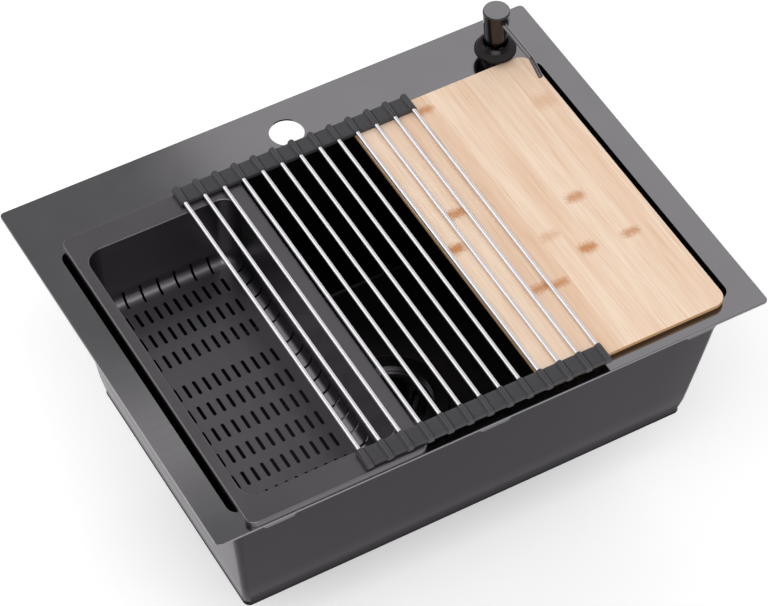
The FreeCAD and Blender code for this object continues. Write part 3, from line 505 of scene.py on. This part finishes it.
def loft(rings: Sequence[Sequence[Point]], around: bool = True, closed: bool = False,
         caps: bool = False) -> Mesh:
    """Join rings of equal length with quads.

    Args:
        rings: the rings, in order.
        around: whether each ring closes on itself.
        closed: whether the last ring joins the first.
        caps: whether the first and last rings are filled.

    Returns:
        The points and faces.
    """
    count = len(rings[0])
    points = [point for ring in rings for point in ring]
    faces: list[Face] = []
    for row in range(len(rings) if closed else len(rings) - 1):
        here = row * count
        there = (row + 1) % len(rings) * count
        for place in range(count if around else count - 1):
            after = (place + 1) % count
            faces.append((here + place, here + after, there + after, there + place))
    if caps:
        faces.append(tuple(reversed(range(count))))
        faces.append(tuple(range(len(points) - count, len(points))))
    return points, faces


def quarter(steps: int) -> list[float]:
    """Return the angles that cut a quarter turn into equal steps."""
    return [math.pi / 2 * step / steps for step in range(steps + 1)]


def soften(profile: Sequence[Flat], radii: Sequence[float], steps: int = 4) -> list[Flat]:
    """Round the corners of an open outline.

    Args:
        profile: the outline's points.
        radii: for each point, the radius of its rounding, or 0 for none.
        steps: how many runs each rounding has.

    Returns:
        The outline with its corners rounded.
    """
    softened: list[Flat] = []
    for place, (point, radius) in enumerate(zip(profile, radii)):
        if radius <= 0 or place in (0, len(profile) - 1):
            softened.append(point)
            continue
        corner = Vector(point)
        back = (Vector(profile[place - 1]) - corner)
        ahead = (Vector(profile[place + 1]) - corner)
        turn = back.angle(ahead)
        reach = min(radius / math.tan(turn / 2), 0.45 * back.length, 0.45 * ahead.length)
        start = corner + back.normalized() * reach
        end = corner + ahead.normalized() * reach
        for step in range(steps + 1):
            share = step / steps
            curve = start * (1 - share) ** 2 + corner * (2 * share * (1 - share)) + end * share ** 2
            softened.append((curve.x, curve.y))
    return softened


def lathe(profile: Sequence[Flat], centre: Flat, steps: int = 72) -> Mesh:
    """Turn an outline about an upright axis.

    Args:
        profile: (radius, height) points; it closes on itself, or starts and ends on the axis.
        centre: the axis's X and Y.
        steps: how many runs the circle has.

    Returns:
        The points and faces.
    """
    on_axis = profile[0][0] == 0
    rings = [[(centre[0] + x, centre[1] + y, height) for x, y in circle(radius, steps)]
             for radius, height in profile if radius > 0]
    return loft(rings, closed=not on_axis, caps=on_axis)


def sweep(path: Sequence[Vector], outline: Sequence[Flat], sideways: Vector) -> list[list[Point]]:
    """Carry a flat outline along a path.

    Args:
        path: the path's points.
        outline: the outline's points across and above the path.
        sideways: the outline's first direction, square to the whole path.

    Returns:
        One ring of points for each point of the path.
    """
    rings = []
    for place, point in enumerate(path):
        before = path[max(place - 1, 0)]
        after = path[min(place + 1, len(path) - 1)]
        upward = sideways.cross((after - before).normalized()).normalized()
        rings.append([tuple(point + sideways * across + upward * above) for across, above in outline])
    return rings


def circle(radius: float, steps: int = CIRCLE_STEPS) -> list[Flat]:
    """Return a circle's points."""
    return [(radius * math.cos(2 * math.pi * step / steps), radius * math.sin(2 * math.pi * step / steps))
            for step in range(steps)]


def dress(frame: dict, finish: Finish, *nodes: str) -> None:
    for name in nodes:
        for slot in frame["nodes"][name].material_slots:
            slot.link = "OBJECT"
            slot.material = finish.material()
        LOG.info("node %s: %s", name, finish.name)


# ---- sub-assemblies ----


@dataclass
class Rect:
    """A level rectangle, in millimetres."""

    left: float
    right: float
    front: float
    rear: float

    def moved(self, left: float, right: float, front: float, rear: float) -> Rect:
        """Return the rectangle with each side moved by its own amount."""
        return Rect(self.left + left, self.right + right, self.front + front, self.rear + rear)

    def grown(self, margin: float) -> Rect:
        """Return the rectangle with each side moved outwards."""
        return self.moved(-margin, margin, -margin, margin)

    def ring(self, corner: float, height: float, corner_steps: int = 8, side_steps: int = 12) -> list[Point]:
        """Return the points of the rectangle with rounded corners, from the right side's rear end."""
        points: list[Point] = []
        centres = [(self.right - corner, self.rear - corner), (self.left + corner, self.rear - corner),
                   (self.left + corner, self.front + corner), (self.right - corner, self.front + corner)]
        for place, (x, y) in enumerate(centres):
            for turn in quarter(corner_steps):
                angle = math.pi / 2 * place + turn
                points.append((x + corner * math.cos(angle), y + corner * math.sin(angle), height))
            start = points[-1]
            next_x, next_y = centres[(place + 1) % 4]
            for step in range(1, side_steps):
                share = step / side_steps
                points.append((start[0] + (next_x - x) * share, start[1] + (next_y - y) * share, height))
        return points


@dataclass
class SinkTop:
    """The deck plate with the tabs, strips and gasket fixed to it."""

    def build(self, frame: dict) -> None:
        """Dress the deck's nodes."""
        dress(frame, DECK_COATING, "deck_plate")
        dress(frame, TAB_COATING, "front_clip_tabs", "rear_clip_tabs")
        dress(frame, SEAL_RUBBER, "side_seal_strips", "dispenser_gasket")


@dataclass
class Bowl:
    """The deep bowl: leaning walls, rounded bends, a flange under the deck and the drain's recess.

    Attributes:
        opening: the bowl's mouth, inside.
        lean: how far the left, right, front and rear walls move by the time they meet the floor.
        top, floor: heights of the mouth and of the floor's upper face.
        wall: thickness of the sheet.
        flange: width of the flange round the mouth.
        corner, corner_low: radius of the upright corners, inside, at the mouth and at the bend.
        corner_least: the corners' radius where the bend runs out into the floor.
        bend: radius between walls and floor, inside.
        drain: the drain's centre.
        recess_r, recess: radius and depth of the stamped recess.
        hole_r: radius of the drain hole.
        press: how far out the floor starts to turn down into the recess, then (outwards, down)
            places on that edge.
        stamp_r: rounding of the recess outside.
        wall_rings, bend_rings: how many rings of points the walls and the bend have.
    """

    opening: Rect = field(default_factory=lambda: Rect(-263.0, 263.0, -386.5, -34.0))
    lean: tuple[float, float, float, float] = (24.0, -24.0, 29.5, -25.0)
    top: float = -2.0
    floor: float = -191.8
    wall: float = 1.2
    flange: float = 4.5
    corner: float = 11.0
    corner_low: float = 5.6
    corner_least: float = 1.2
    bend: float = 4.6
    drain: Flat = (0.0, -208.0)
    recess_r: float = 58.0
    recess: float = 3.0
    hole_r: float = 45.0
    press: tuple[Flat, ...] = ((1.6, 0.0), (0.5, 0.3), (0.0, 1.0))
    stamp_r: float = 1.0
    wall_rings: int = 10
    bend_rings: int = 9

    def wall_ring(self, grow: float, height: float) -> list[Point]:
        """Return the ring of the walls at a height, grown outwards by part of the sheet."""
        share = (self.top - height) / (self.top - self.floor)
        rect = self.opening.moved(*(shift * share for shift in self.lean)).grown(grow)
        corner = self.corner_low + (self.corner - self.corner_low) * (1 - min(share, 1.0)) ** 3
        return rect.ring(corner + grow, height)

    def bend_ring(self, grow: float, share: float) -> list[Point]:
        """Return a ring of the bend; share runs from 1 at the walls to 0 on the floor."""
        radius = self.bend + grow
        floor = self.floor - grow
        depth = self.top - self.floor
        least_turn = math.pi / 2 - math.atan(max(abs(shift) for shift in self.lean) / depth)
        angle = least_turn * share
        height = floor + radius * (1 - math.cos(angle))
        at_floor = (self.top - floor) / depth
        shifts = []
        insets = []
        for shift in self.lean:
            turn = math.pi / 2 - math.atan(abs(shift) / depth)
            inset = radius * math.tan(turn / 2) - radius * math.sin(angle)
            insets.append(inset)
            shifts.append(shift * at_floor + math.copysign(inset, shift))
        rect = self.opening.moved(*shifts).grown(grow)
        corner = max(self.corner_low + grow - sum(insets) / 4, self.corner_least)
        return rect.ring(corner, height)

    def shell(self, grow: float, top: float) -> list[list[Point]]:
        """Return the rings of the walls and the bend, from `top` down to the floor."""
        bend_top = self.bend_ring(grow, 1.0)[0][2]
        rings = [self.wall_ring(grow, top + (bend_top - top) * step / self.wall_rings)
                 for step in range(self.wall_rings)]
        return rings + [self.bend_ring(grow, 1 - step / self.bend_rings)
                        for step in range(self.bend_rings + 1)]

    def round_ring(self, pattern: Sequence[Point], radius: float, height: float) -> list[Point]:
        """Return a circle round the drain whose points face those of another ring."""
        centre = Vector((*self.drain, height))
        ring = []
        for x, y, _ in pattern:
            ring.append(tuple(centre + (Vector((x, y, height)) - centre).normalized() * radius))
        return ring

    def build(self, frame: dict) -> None:
        """Build the bowl in place of its node and dress the pad below it."""
        flange = self.opening.grown(self.flange)
        under_flange = self.top - self.wall
        rings = [flange.ring(self.corner + self.flange, self.top)] + self.shell(0.0, self.top)
        pattern = rings[-1]
        low = self.floor - self.recess
        for out, down in self.press:
            rings.append(self.round_ring(pattern, self.recess_r + out, self.floor - down))
        rings += [self.round_ring(pattern, radius, low) for radius in (self.recess_r, self.hole_r)]
        inner_rings = len(rings)
        stamped_r = self.recess_r + self.wall
        under_low = low - self.wall
        under_floor = self.floor - self.wall
        for radius, height in ((self.hole_r, under_low), (stamped_r - self.stamp_r, under_low),
                               (stamped_r, under_low + self.stamp_r),
                               (stamped_r, under_floor - 0.4 * self.stamp_r),
                               (stamped_r + self.stamp_r, under_floor)):
            rings.append(self.round_ring(pattern, radius, height))
        rings += reversed(self.shell(self.wall, under_flange))
        rings.append(flange.ring(self.corner + self.flange, under_flange))
        points, faces = loft(rings, closed=True)
        count = len(rings[0])
        # Faces inside the bowl take the inner coating, whose darker colour is painted shade.
        finish_of_face = [0 if place // count < inner_rings - 1 else 1 for place in range(len(faces))]
        bowl = make_object("bowl", points, faces, (INNER_PAINTED_SHADE_COATING, OUTER_COATING), finish_of_face)
        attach(bowl, "sink")
        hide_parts("bowl_shell")
        LOG.info("bowl: %d faces", len(faces))
        dress(frame, PAD_RUBBER, "floor_sound_pad")


@dataclass
class Drain:
    """The basket strainer with its fittings below the bowl."""

    def build(self, frame: dict) -> None:
        """Dress the drain's nodes."""
        dress(frame, DRAIN_COATING, "strainer_body", "strainer_basket", "basket_knob")
        dress(frame, SEAL_RUBBER, "strainer_gasket", "basket_seal", "tailpiece_washer")
        dress(frame, POLYPROPYLENE, "strainer_under_washer", "strainer_lock_nut", "tailpiece",
              "tailpiece_nut")


@dataclass
class Colander:
    """The slotted basin that slides on the deck."""

    def build(self, frame: dict) -> None:
        """Dress the colander."""
        dress(frame, COLANDER_COATING, "colander")


@dataclass
class CuttingBoard:
    """The bamboo board that slides on the deck."""

    def build(self, frame: dict) -> None:
        """Dress the board."""
        dress(frame, BAMBOO, "cutting_board")


@dataclass
class DryingRack:
    """Bright rods whose ends sit in two ribbed silicone strips.

    Each rod carries its own length of both strips, so that the strips bend between the rods.

    Attributes:
        rods: how many rods.
        first_rear, first_front: X of the first rod where it enters the rear and front strips.
        pitch_rear, pitch_front: spacing of the rods at the two strips.
        mouth_rear, mouth_front: Y where the rods enter the strips.
        axis: height of the rods' axes.
        ridge_r: radius of the ridge over each rod.
        web: thickness of the strip between the ridges.
        length: how far the ridge runs outwards from the mouth.
        bump: how far the ridge stands out beyond the strip's edge.
        ridge_foot: half the ridge's width, where the groove beside it begins.
        groove, groove_depth: width and depth of that groove.
        end_r, edge_r: rounding of the outer end and of the other edges.
        gap: left between neighbouring lengths of strip.
        bore_r, bore: radius and depth of the hole for the rod.
        end_reach: how far the strip runs past the first and last rods.
        stations: distances from the rod at which the strip's outline is drawn.
        drill_over: how far the drill for the rod's hole starts outside the strip.
    """

    rods: int = 13
    first_rear: float = -132.4
    first_front: float = -132.9
    pitch_rear: float = 20.8
    pitch_front: float = 20.775
    mouth_rear: float = -43.0
    mouth_front: float = -384.9
    axis: float = 10.8
    ridge_r: float = 3.5
    web: float = 4.6
    length: float = 21.5
    bump: float = 1.5
    ridge_foot: float = 3.1
    groove: float = 1.5
    groove_depth: float = 0.8
    end_r: float = 1.5
    edge_r: float = 0.5
    gap: float = 0.06
    bore_r: float = 2.3
    bore: float = 18.05
    end_reach: float = 3.9
    stations: tuple[float, ...] = (0.7, 1.4, 2.1, 2.7, 3.1, 3.25, 3.45, 3.7, 4.0, 4.25, 4.45, 4.6, 5.2, 7.5)
    drill_over: float = 2.0

    def top_at(self, across: float) -> float:
        """Return the strip's upper face above the rod's axis: a ridge with a groove at each foot."""
        web_top = self.web - self.ridge_r
        distance = abs(across)
        if distance <= self.ridge_foot:
            return math.sqrt(self.ridge_r ** 2 - distance ** 2)
        if distance >= self.ridge_foot + self.groove:
            return web_top
        share = (distance - self.ridge_foot) / self.groove
        edge = math.sqrt(self.ridge_r ** 2 - self.ridge_foot ** 2)
        line = edge + (web_top - edge) * share
        return line - self.groove_depth * math.sin(math.pi * share) ** 0.7

    def reach_at(self, across: float) -> float:
        """Return how far the strip reaches outwards, a little further at the ridge."""
        share = max(0.0, 1.0 - abs(across) / (self.ridge_r + 0.6))
        return self.length - self.bump + self.bump * math.sqrt(min(1.0, 2.2 * share))

    def section(self, across: float, pinch: float) -> list[Flat]:
        """Draw the strip's outline at one place.

        Args:
            across: the place, measured from the rod's axis.
            pinch: how far the outline is drawn in, for the strip's rounded sides.

        Returns:
            The outline's points, as distance outwards from the mouth and height.
        """
        bottom = pinch - self.ridge_r
        top = self.top_at(across) - pinch
        end = self.reach_at(across) - pinch
        outline = [(pinch + self.edge_r, bottom)]
        outline += [(end - self.edge_r * (1 - math.sin(turn)), bottom + self.edge_r * (1 - math.cos(turn)))
                    for turn in quarter(3)]
        outline += [(end - self.end_r * (1 - math.cos(turn)), top - self.end_r * (1 - math.sin(turn)))
                    for turn in quarter(5)]
        outline += [((end - self.end_r) * share, top) for share in (0.75, 0.5, 0.25)]
        outline += [(pinch + self.edge_r * (1 - math.sin(turn)), top - self.edge_r * (1 - math.cos(turn)))
                    for turn in quarter(2)]
        return outline + [(pinch, bottom + self.edge_r)]

    def length_of_strip(self, left: float, right: float) -> Mesh:
        """Build one rod's length of strip in its own frame, with the rod along +Y.

        Args:
            left, right: how far it reaches to each side of the rod's axis.

        Returns:
            The points and faces, with the rod's hole still to be cut.
        """
        places: list[Flat] = []
        for reach, sign in ((left, -1.0), (right, 1.0)):
            if reach > self.end_reach:
                places.append((sign * reach, 0.0))
                continue
            for turn in quarter(3):
                inset = self.edge_r * (1 - math.cos(turn))
                places.append((sign * (reach - inset), self.edge_r * (1 - math.sin(turn))))
        clear = self.edge_r + 0.1
        inner = [0.0] + [sign * x for x in self.stations for sign in (-1, 1)]
        places += [(x, 0.0) for x in inner if clear - left < x < right - clear]
        places.sort()
        rings = [[(x, y, z) for y, z in self.section(x, pinch)] for x, pinch in places]
        return loft(rings, caps=True)

    def bored(self, name: str, left: float, right: float) -> Mesh:
        """Return a length of strip with the rod's hole cut into it."""
        strip = make_object(name, *self.length_of_strip(left, right), (SILICONE,))
        path = [Vector((0.0, -self.drill_over, 0.0)), Vector((0.0, self.bore, 0.0))]
        drill_rings = sweep(path, circle(self.bore_r), Vector((1.0, 0.0, 0.0)))
        drill = make_object(name + "_drill", *loft(drill_rings, caps=True), (SILICONE,))
        cut = strip.modifiers.new("bore", "BOOLEAN")
        cut.operation = "DIFFERENCE"
        cut.solver = "EXACT"
        cut.object = drill
        bored = strip.evaluated_get(bpy.context.evaluated_depsgraph_get())
        result = bored.to_mesh()
        cut_points = [tuple(vertex.co / MM) for vertex in result.vertices]
        cut_faces = [tuple(polygon.vertices) for polygon in result.polygons]
        bored.to_mesh_clear()
        for spare in (strip, drill):
            mesh = spare.data
            bpy.data.objects.remove(spare)
            bpy.data.meshes.remove(mesh)
        return cut_points, cut_faces

    def build(self, frame: dict) -> None:
        """Build every rod's two lengths of strip in place of their nodes, and dress the rods."""
        shapes: dict[tuple[Side, int], Mesh] = {}
        for side, pitch in ((Side.REAR, self.pitch_rear), (Side.FRONT, self.pitch_front)):
            for end in (0, -1, 1):
                left, right = (self.end_reach if end * side.value == outward else (pitch - self.gap) / 2
                               for outward in (-1, 1))
                shapes[(side, end)] = self.bored("strip_%s_%d" % (side.name.lower(), end), left, right)
        for place in range(self.rods):
            rear = Vector((self.first_rear + place * self.pitch_rear, self.mouth_rear, self.axis))
            front = Vector((self.first_front + place * self.pitch_front, self.mouth_front, self.axis))
            end = -1 if place == 0 else 1 if place == self.rods - 1 else 0
            slope = (rear.x - front.x) / (rear.y - front.y)
            points: list[Point] = []
            faces: list[Face] = []
            for side, mouth in ((Side.FRONT, front), (Side.REAR, rear)):
                shape_points, shape_faces = shapes[(side, end)]
                out = side.value
                offset = len(points)
                for x, y, z in shape_points:
                    points.append((mouth.x + out * (x + y * slope), mouth.y + out * y, mouth.z + z))
                faces += [tuple(index + offset for index in face) for face in shape_faces]
            name = "strip_length_%02d" % (place + 1)
            strip = make_object(name, points, faces, (SILICONE,))
            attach(strip, "rack_%02d" % (place + 1))
            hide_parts("rack_sleeves_%02d" % (place + 1))
            dress(frame, ROD_STEEL, "rack_rod_%02d" % (place + 1))
            LOG.info("%s: %d faces", name, len(faces))


@dataclass
class SoapDispenser:
    """The deck-mounted soap pump: collar with its threaded shank, head, spout and hidden pieces.

    An outline is a row of (radius, height) points, with the rounding of each where it has any.

    Attributes:
        centre: the pump's axis.
        collar_outline, collar_rounding: the collar, from its upper bore over the flare to the deck.
        shank_r, shank_low: the threaded shank's radius and where its thread ends.
        shank_end: the shank's lower end and its bore.
        thread_pitch, thread_depth: of the shank's thread, drawn as rings.
        head_outline, head_rounding: the head, from its socket's mouth to the middle of its top.
        socket_end: the closed end of the head's socket.
        nozzle: height of the spout's axis.
        root, straight: where the spout's level run starts and ends, from the pump's axis.
        bend_r, turn, tip: the radius of the spout's bend, how far it turns down in degrees, and
            the run to its tip.
        tip_inset: the small bevel at the tip.
        pipe_r, pipe_bore_r, bore_depth: the spout's radii and the depth of its bore.
    """

    centre: Flat = (228.0, -12.0)
    collar_outline: tuple[Flat, ...] = (
        (12.3, 13.0), (12.3, 24.5), (13.2, 24.5), (14.6, 24.0), (17.5, 21.0), (21.0, 15.0), (21.0, 12.5),
        (19.5, 10.5), (14.0, 9.5), (14.0, 0.8), (12.0, 0.8))
    collar_rounding: tuple[float, ...] = (0.0, 0.3, 0.4, 0.5, 3.0, 0.9, 0.9, 0.6, 1.2, 0.3, 0.0)
    shank_r: float = 12.0
    shank_low: float = -29.0
    shank_end: tuple[Flat, ...] = ((12.0, -29.5), (11.5, -30.0), (9.5, -30.0), (9.5, 2.0), (12.3, 2.0))
    thread_pitch: float = 1.5
    thread_depth: float = 0.45
    head_outline: tuple[Flat, ...] = ((3.55, 23.0), (11.0, 23.0), (13.8, 64.5), (13.0, 66.5), (0.4, 66.5),
                                      (0.0, 66.5))
    head_rounding: tuple[float, ...] = (0.0, 0.8, 0.9, 0.6, 0.0, 0.0)
    socket_end: tuple[Flat, ...] = ((0.0, 40.0), (3.55, 40.0))
    nozzle: float = 58.0
    root: float = 10.0
    straight: float = 63.0
    bend_r: float = 12.0
    turn: float = 25.0
    tip: float = 19.0
    tip_inset: float = 0.3
    pipe_r: float = 2.5
    pipe_bore_r: float = 1.6
    bore_depth: float = 12.0

    def collar(self) -> bpy.types.Object:
        """Build the flared collar and its threaded shank."""
        outline = soften(self.collar_outline, self.collar_rounding)
        height = -1.0
        while height > self.shank_low:
            outline += [(self.shank_r, height),
                        (self.shank_r - self.thread_depth, height - self.thread_pitch / 2)]
            height -= self.thread_pitch
        outline += self.shank_end
        return make_object("dispenser_collar_turned", *lathe(outline, self.centre), (COLLAR_COATING,))

    def head(self) -> bpy.types.Object:
        """Build the tapered pump head with its socket."""
        outline = list(self.socket_end) + soften(self.head_outline, self.head_rounding)
        points, faces = lathe(outline, self.centre)
        top = max(height for _, height in outline) - 0.01
        finish_of_face = [1 if all(points[corner][2] > top for corner in face) else 0 for face in faces]
        return make_object("pump_head_turned", points, faces, (POLISHED_COATING, DECK_COATING),
                           finish_of_face)

    def spout(self) -> bpy.types.Object:
        """Build the thin spout with its bend and bored tip."""
        turn = math.radians(self.turn)
        path = [Vector((self.centre[0], self.centre[1] - self.root, self.nozzle))]
        bend_start = Vector((self.centre[0], self.centre[1] - self.straight, self.nozzle))
        steps = 10
        for step in range(steps + 1):
            angle = turn * step / steps
            path.append(bend_start - self.bend_r * Vector((0.0, math.sin(angle), 1 - math.cos(angle))))
        along = Vector((0.0, -math.cos(turn), -math.sin(turn)))
        path.append(path[-1] + along * (self.tip - 0.4))
        path.append(path[-1] + along * 0.4)
        sideways = Vector((1.0, 0.0, 0.0))
        rings = sweep(path, circle(self.pipe_r), sideways)[:-1]
        for radius in (self.pipe_r - self.tip_inset, self.pipe_bore_r):
            rings.append(sweep(path[-2:], circle(radius), sideways)[-1])
        bore_end = [path[-1] - along * depth for depth in (self.bore_depth, self.bore_depth - 0.1)]
        rings.append(sweep(bore_end, circle(self.pipe_bore_r), sideways)[0])
        return make_object("pump_spout_swept", *loft(rings, caps=True), (TUBE_COATING,))

    def build(self, frame: dict) -> None:
        """Build the visible pieces in place of their nodes and dress the others."""
        for piece, body, node in ((self.collar(), "sink", "dispenser_collar"),
                                  (self.head(), "head", "pump_head"), (self.spout(), "head", "pump_spout")):
            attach(piece, body)
            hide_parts(node)
            LOG.info("%s: %d faces", piece.name, len(piece.data.polygons))
        dress(frame, POLYPROPYLENE, "dispenser_washer", "dispenser_nut")
        dress(frame, POLYETHYLENE, "dispenser_bottle")
        dress(frame, PUMP_PLASTIC, "pump_barrel", "pump_cap", "pump_stem", "dip_tube")
        dress(frame, SPRING_STEEL, "pump_spring")


# ---- studio ----


@dataclass(frozen=True)
class Softbox:
    """A plain rectangular lamp.

    Attributes:
        name: the lamp's name.
        place: its middle, in metres.
        aim: the point that it faces.
        size: its width and depth in metres.
        radiance: how bright its face is, where 1 is white.
    """

    name: str
    place: Point
    aim: Point
    size: tuple[float, float]
    radiance: float

    def build(self) -> None:
        """Hang the lamp."""
        lamp = bpy.data.lights.new(self.name, "AREA")
        lamp.shape = "RECTANGLE"
        lamp.size, lamp.size_y = self.size
        lamp.energy = self.radiance * math.pi * self.size[0] * self.size[1]
        hung = add_object(self.name, lamp)
        hung.location = self.place
        hung.rotation_euler = (Vector(self.aim) - Vector(self.place)).to_track_quat("-Z", "Y").to_euler()
        LOG.info("softbox %s", self.name)


@dataclass
class Studio:
    """Camera, paper floor, sky and lamps.

    Attributes:
        azimuth, elevation: where the camera looks from, in radians.
        distance: from the aim to the camera, in metres.
        aside, above: how far the aim lies beside and above the deck's middle, across the view.
        focus: the lens's focal length in pixels of the photograph, which is `width` pixels wide.
        sensor: the camera's sensor in millimetres.
        deck_middle: the middle of the deck's top face, in metres.
        floor_size: the paper's width in metres.
        sky_low, sky_high: how bright the sky is near the horizon and overhead.
        sky_band: the heights, on a ball of radius 1, between which it darkens.
        softboxes: the lamps.
    """

    azimuth: float = -0.5120872
    elevation: float = 0.8650301
    distance: float = 3.226623
    aside: float = 0.003983
    above: float = -0.043384
    focus: float = 3424.41
    width: int = 768
    sensor: float = 36.0
    deck_middle: Point = (0.0, -0.185, 0.0)
    floor_size: float = 12.0
    sky_low: float = 1.0
    sky_high: float = 0.36
    sky_band: Flat = (0.25, 0.6)
    softboxes: tuple[Softbox, ...] = (
        Softbox("right_rear_softbox", (2.05, 1.6, 2.0), (2.05, 1.6, 0.0), (2.75, 2.4), 0.58),
        Softbox("left_rear_softbox", (-1.6, 1.6, 2.0), (-1.6, 1.6, 0.0), (2.4, 2.0), 1.50),
        Softbox("low_left_softbox", (0.2, 1.17, 2.0), (0.2, 1.17, 0.0), (0.8, 0.2), 0.5),
        Softbox("front_softbox", (-0.6, -1.6, 2.6), (0.0, -0.2, 0.0), (2.4, 1.8), 3.2),
    )

    def camera(self) -> None:
        """Set the camera up at the photograph's view."""
        right = Vector((math.cos(self.azimuth), math.sin(self.azimuth), 0.0))
        ahead = Vector((-math.sin(self.azimuth) * math.cos(self.elevation),
                        math.cos(self.azimuth) * math.cos(self.elevation), -math.sin(self.elevation)))
        upward = right.cross(ahead)
        lens = bpy.data.cameras.new("photograph_camera")
        lens.sensor_fit = "HORIZONTAL"
        lens.sensor_width = self.sensor
        lens.lens = self.focus * self.sensor / self.width
        lens.clip_end = 50.0
        camera = add_object("photograph_camera", lens)
        place = Vector(self.deck_middle) + right * self.aside + upward * self.above - ahead * self.distance
        axes = Matrix((right, upward, -ahead)).transposed().to_4x4()
        camera.matrix_world = Matrix.Translation(place) @ axes
        bpy.context.scene.camera = camera
        LOG.info("camera at %s", tuple(round(value, 4) for value in place))

    def floor(self, height: float) -> None:
        """Lay the paper floor.

        Args:
            height: the floor's height in metres.
        """
        half = self.floor_size / 2 / MM
        level = height / MM
        corners = [(-half, -half, level), (half, -half, level), (half, half, level), (-half, half, level)]
        floor = make_object("paper_floor", corners, [(0, 1, 2, 3)], (PAPER,))
        floor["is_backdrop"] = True

    def sky(self) -> None:
        """Surround the scene with a pale sky that darkens overhead."""
        world = bpy.data.worlds.new("studio_sky")
        world.use_nodes = True
        tree = world.node_tree
        tree.nodes.clear()
        direction = add_node(tree, "SeparateXYZ", {0: add_node(tree, "TexCoord").outputs["Generated"]})
        brightness = (self.sky_low, self.sky_high)
        strength = spread(tree, direction.outputs[2], self.sky_band, brightness, "SMOOTHSTEP")
        background = add_node(tree, "Background", {"Color": (1.0, 1.0, 1.0, 1.0), "Strength": strength})
        add_node(tree, "OutputWorld", {"Surface": background.outputs[0]})
        bpy.context.scene.world = world

    def build(self, lowest: float) -> None:
        """Build the studio round the object.

        Args:
            lowest: height of the object's lowest point, in metres.
        """
        self.camera()
        self.floor(lowest)
        self.sky()
        for softbox in self.softboxes:
            softbox.build()
        bpy.context.scene.view_settings.view_transform = "Standard"


def plain(box: Sequence[Sequence[float]]) -> list[list[float]]:
    """Return a box's two corners as plain lists of numbers."""
    return [[float(value) for value in corner] for corner in box]


def main() -> None:
    """Load the frame, build and dress every sub-assembly, and light the scene."""
    logging.basicConfig(level=logging.INFO, format="%(name)s: %(message)s")
    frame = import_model()
    cad_box = plain(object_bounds())
    for assembly in (SinkTop(), Bowl(), Drain(), Colander(), CuttingBoard(), DryingRack(), SoapDispenser()):
        LOG.info("building %s", type(assembly).__name__)
        assembly.build(frame)
    Studio().build(cad_box[0][2])


if __name__ == "__main__":
    main()
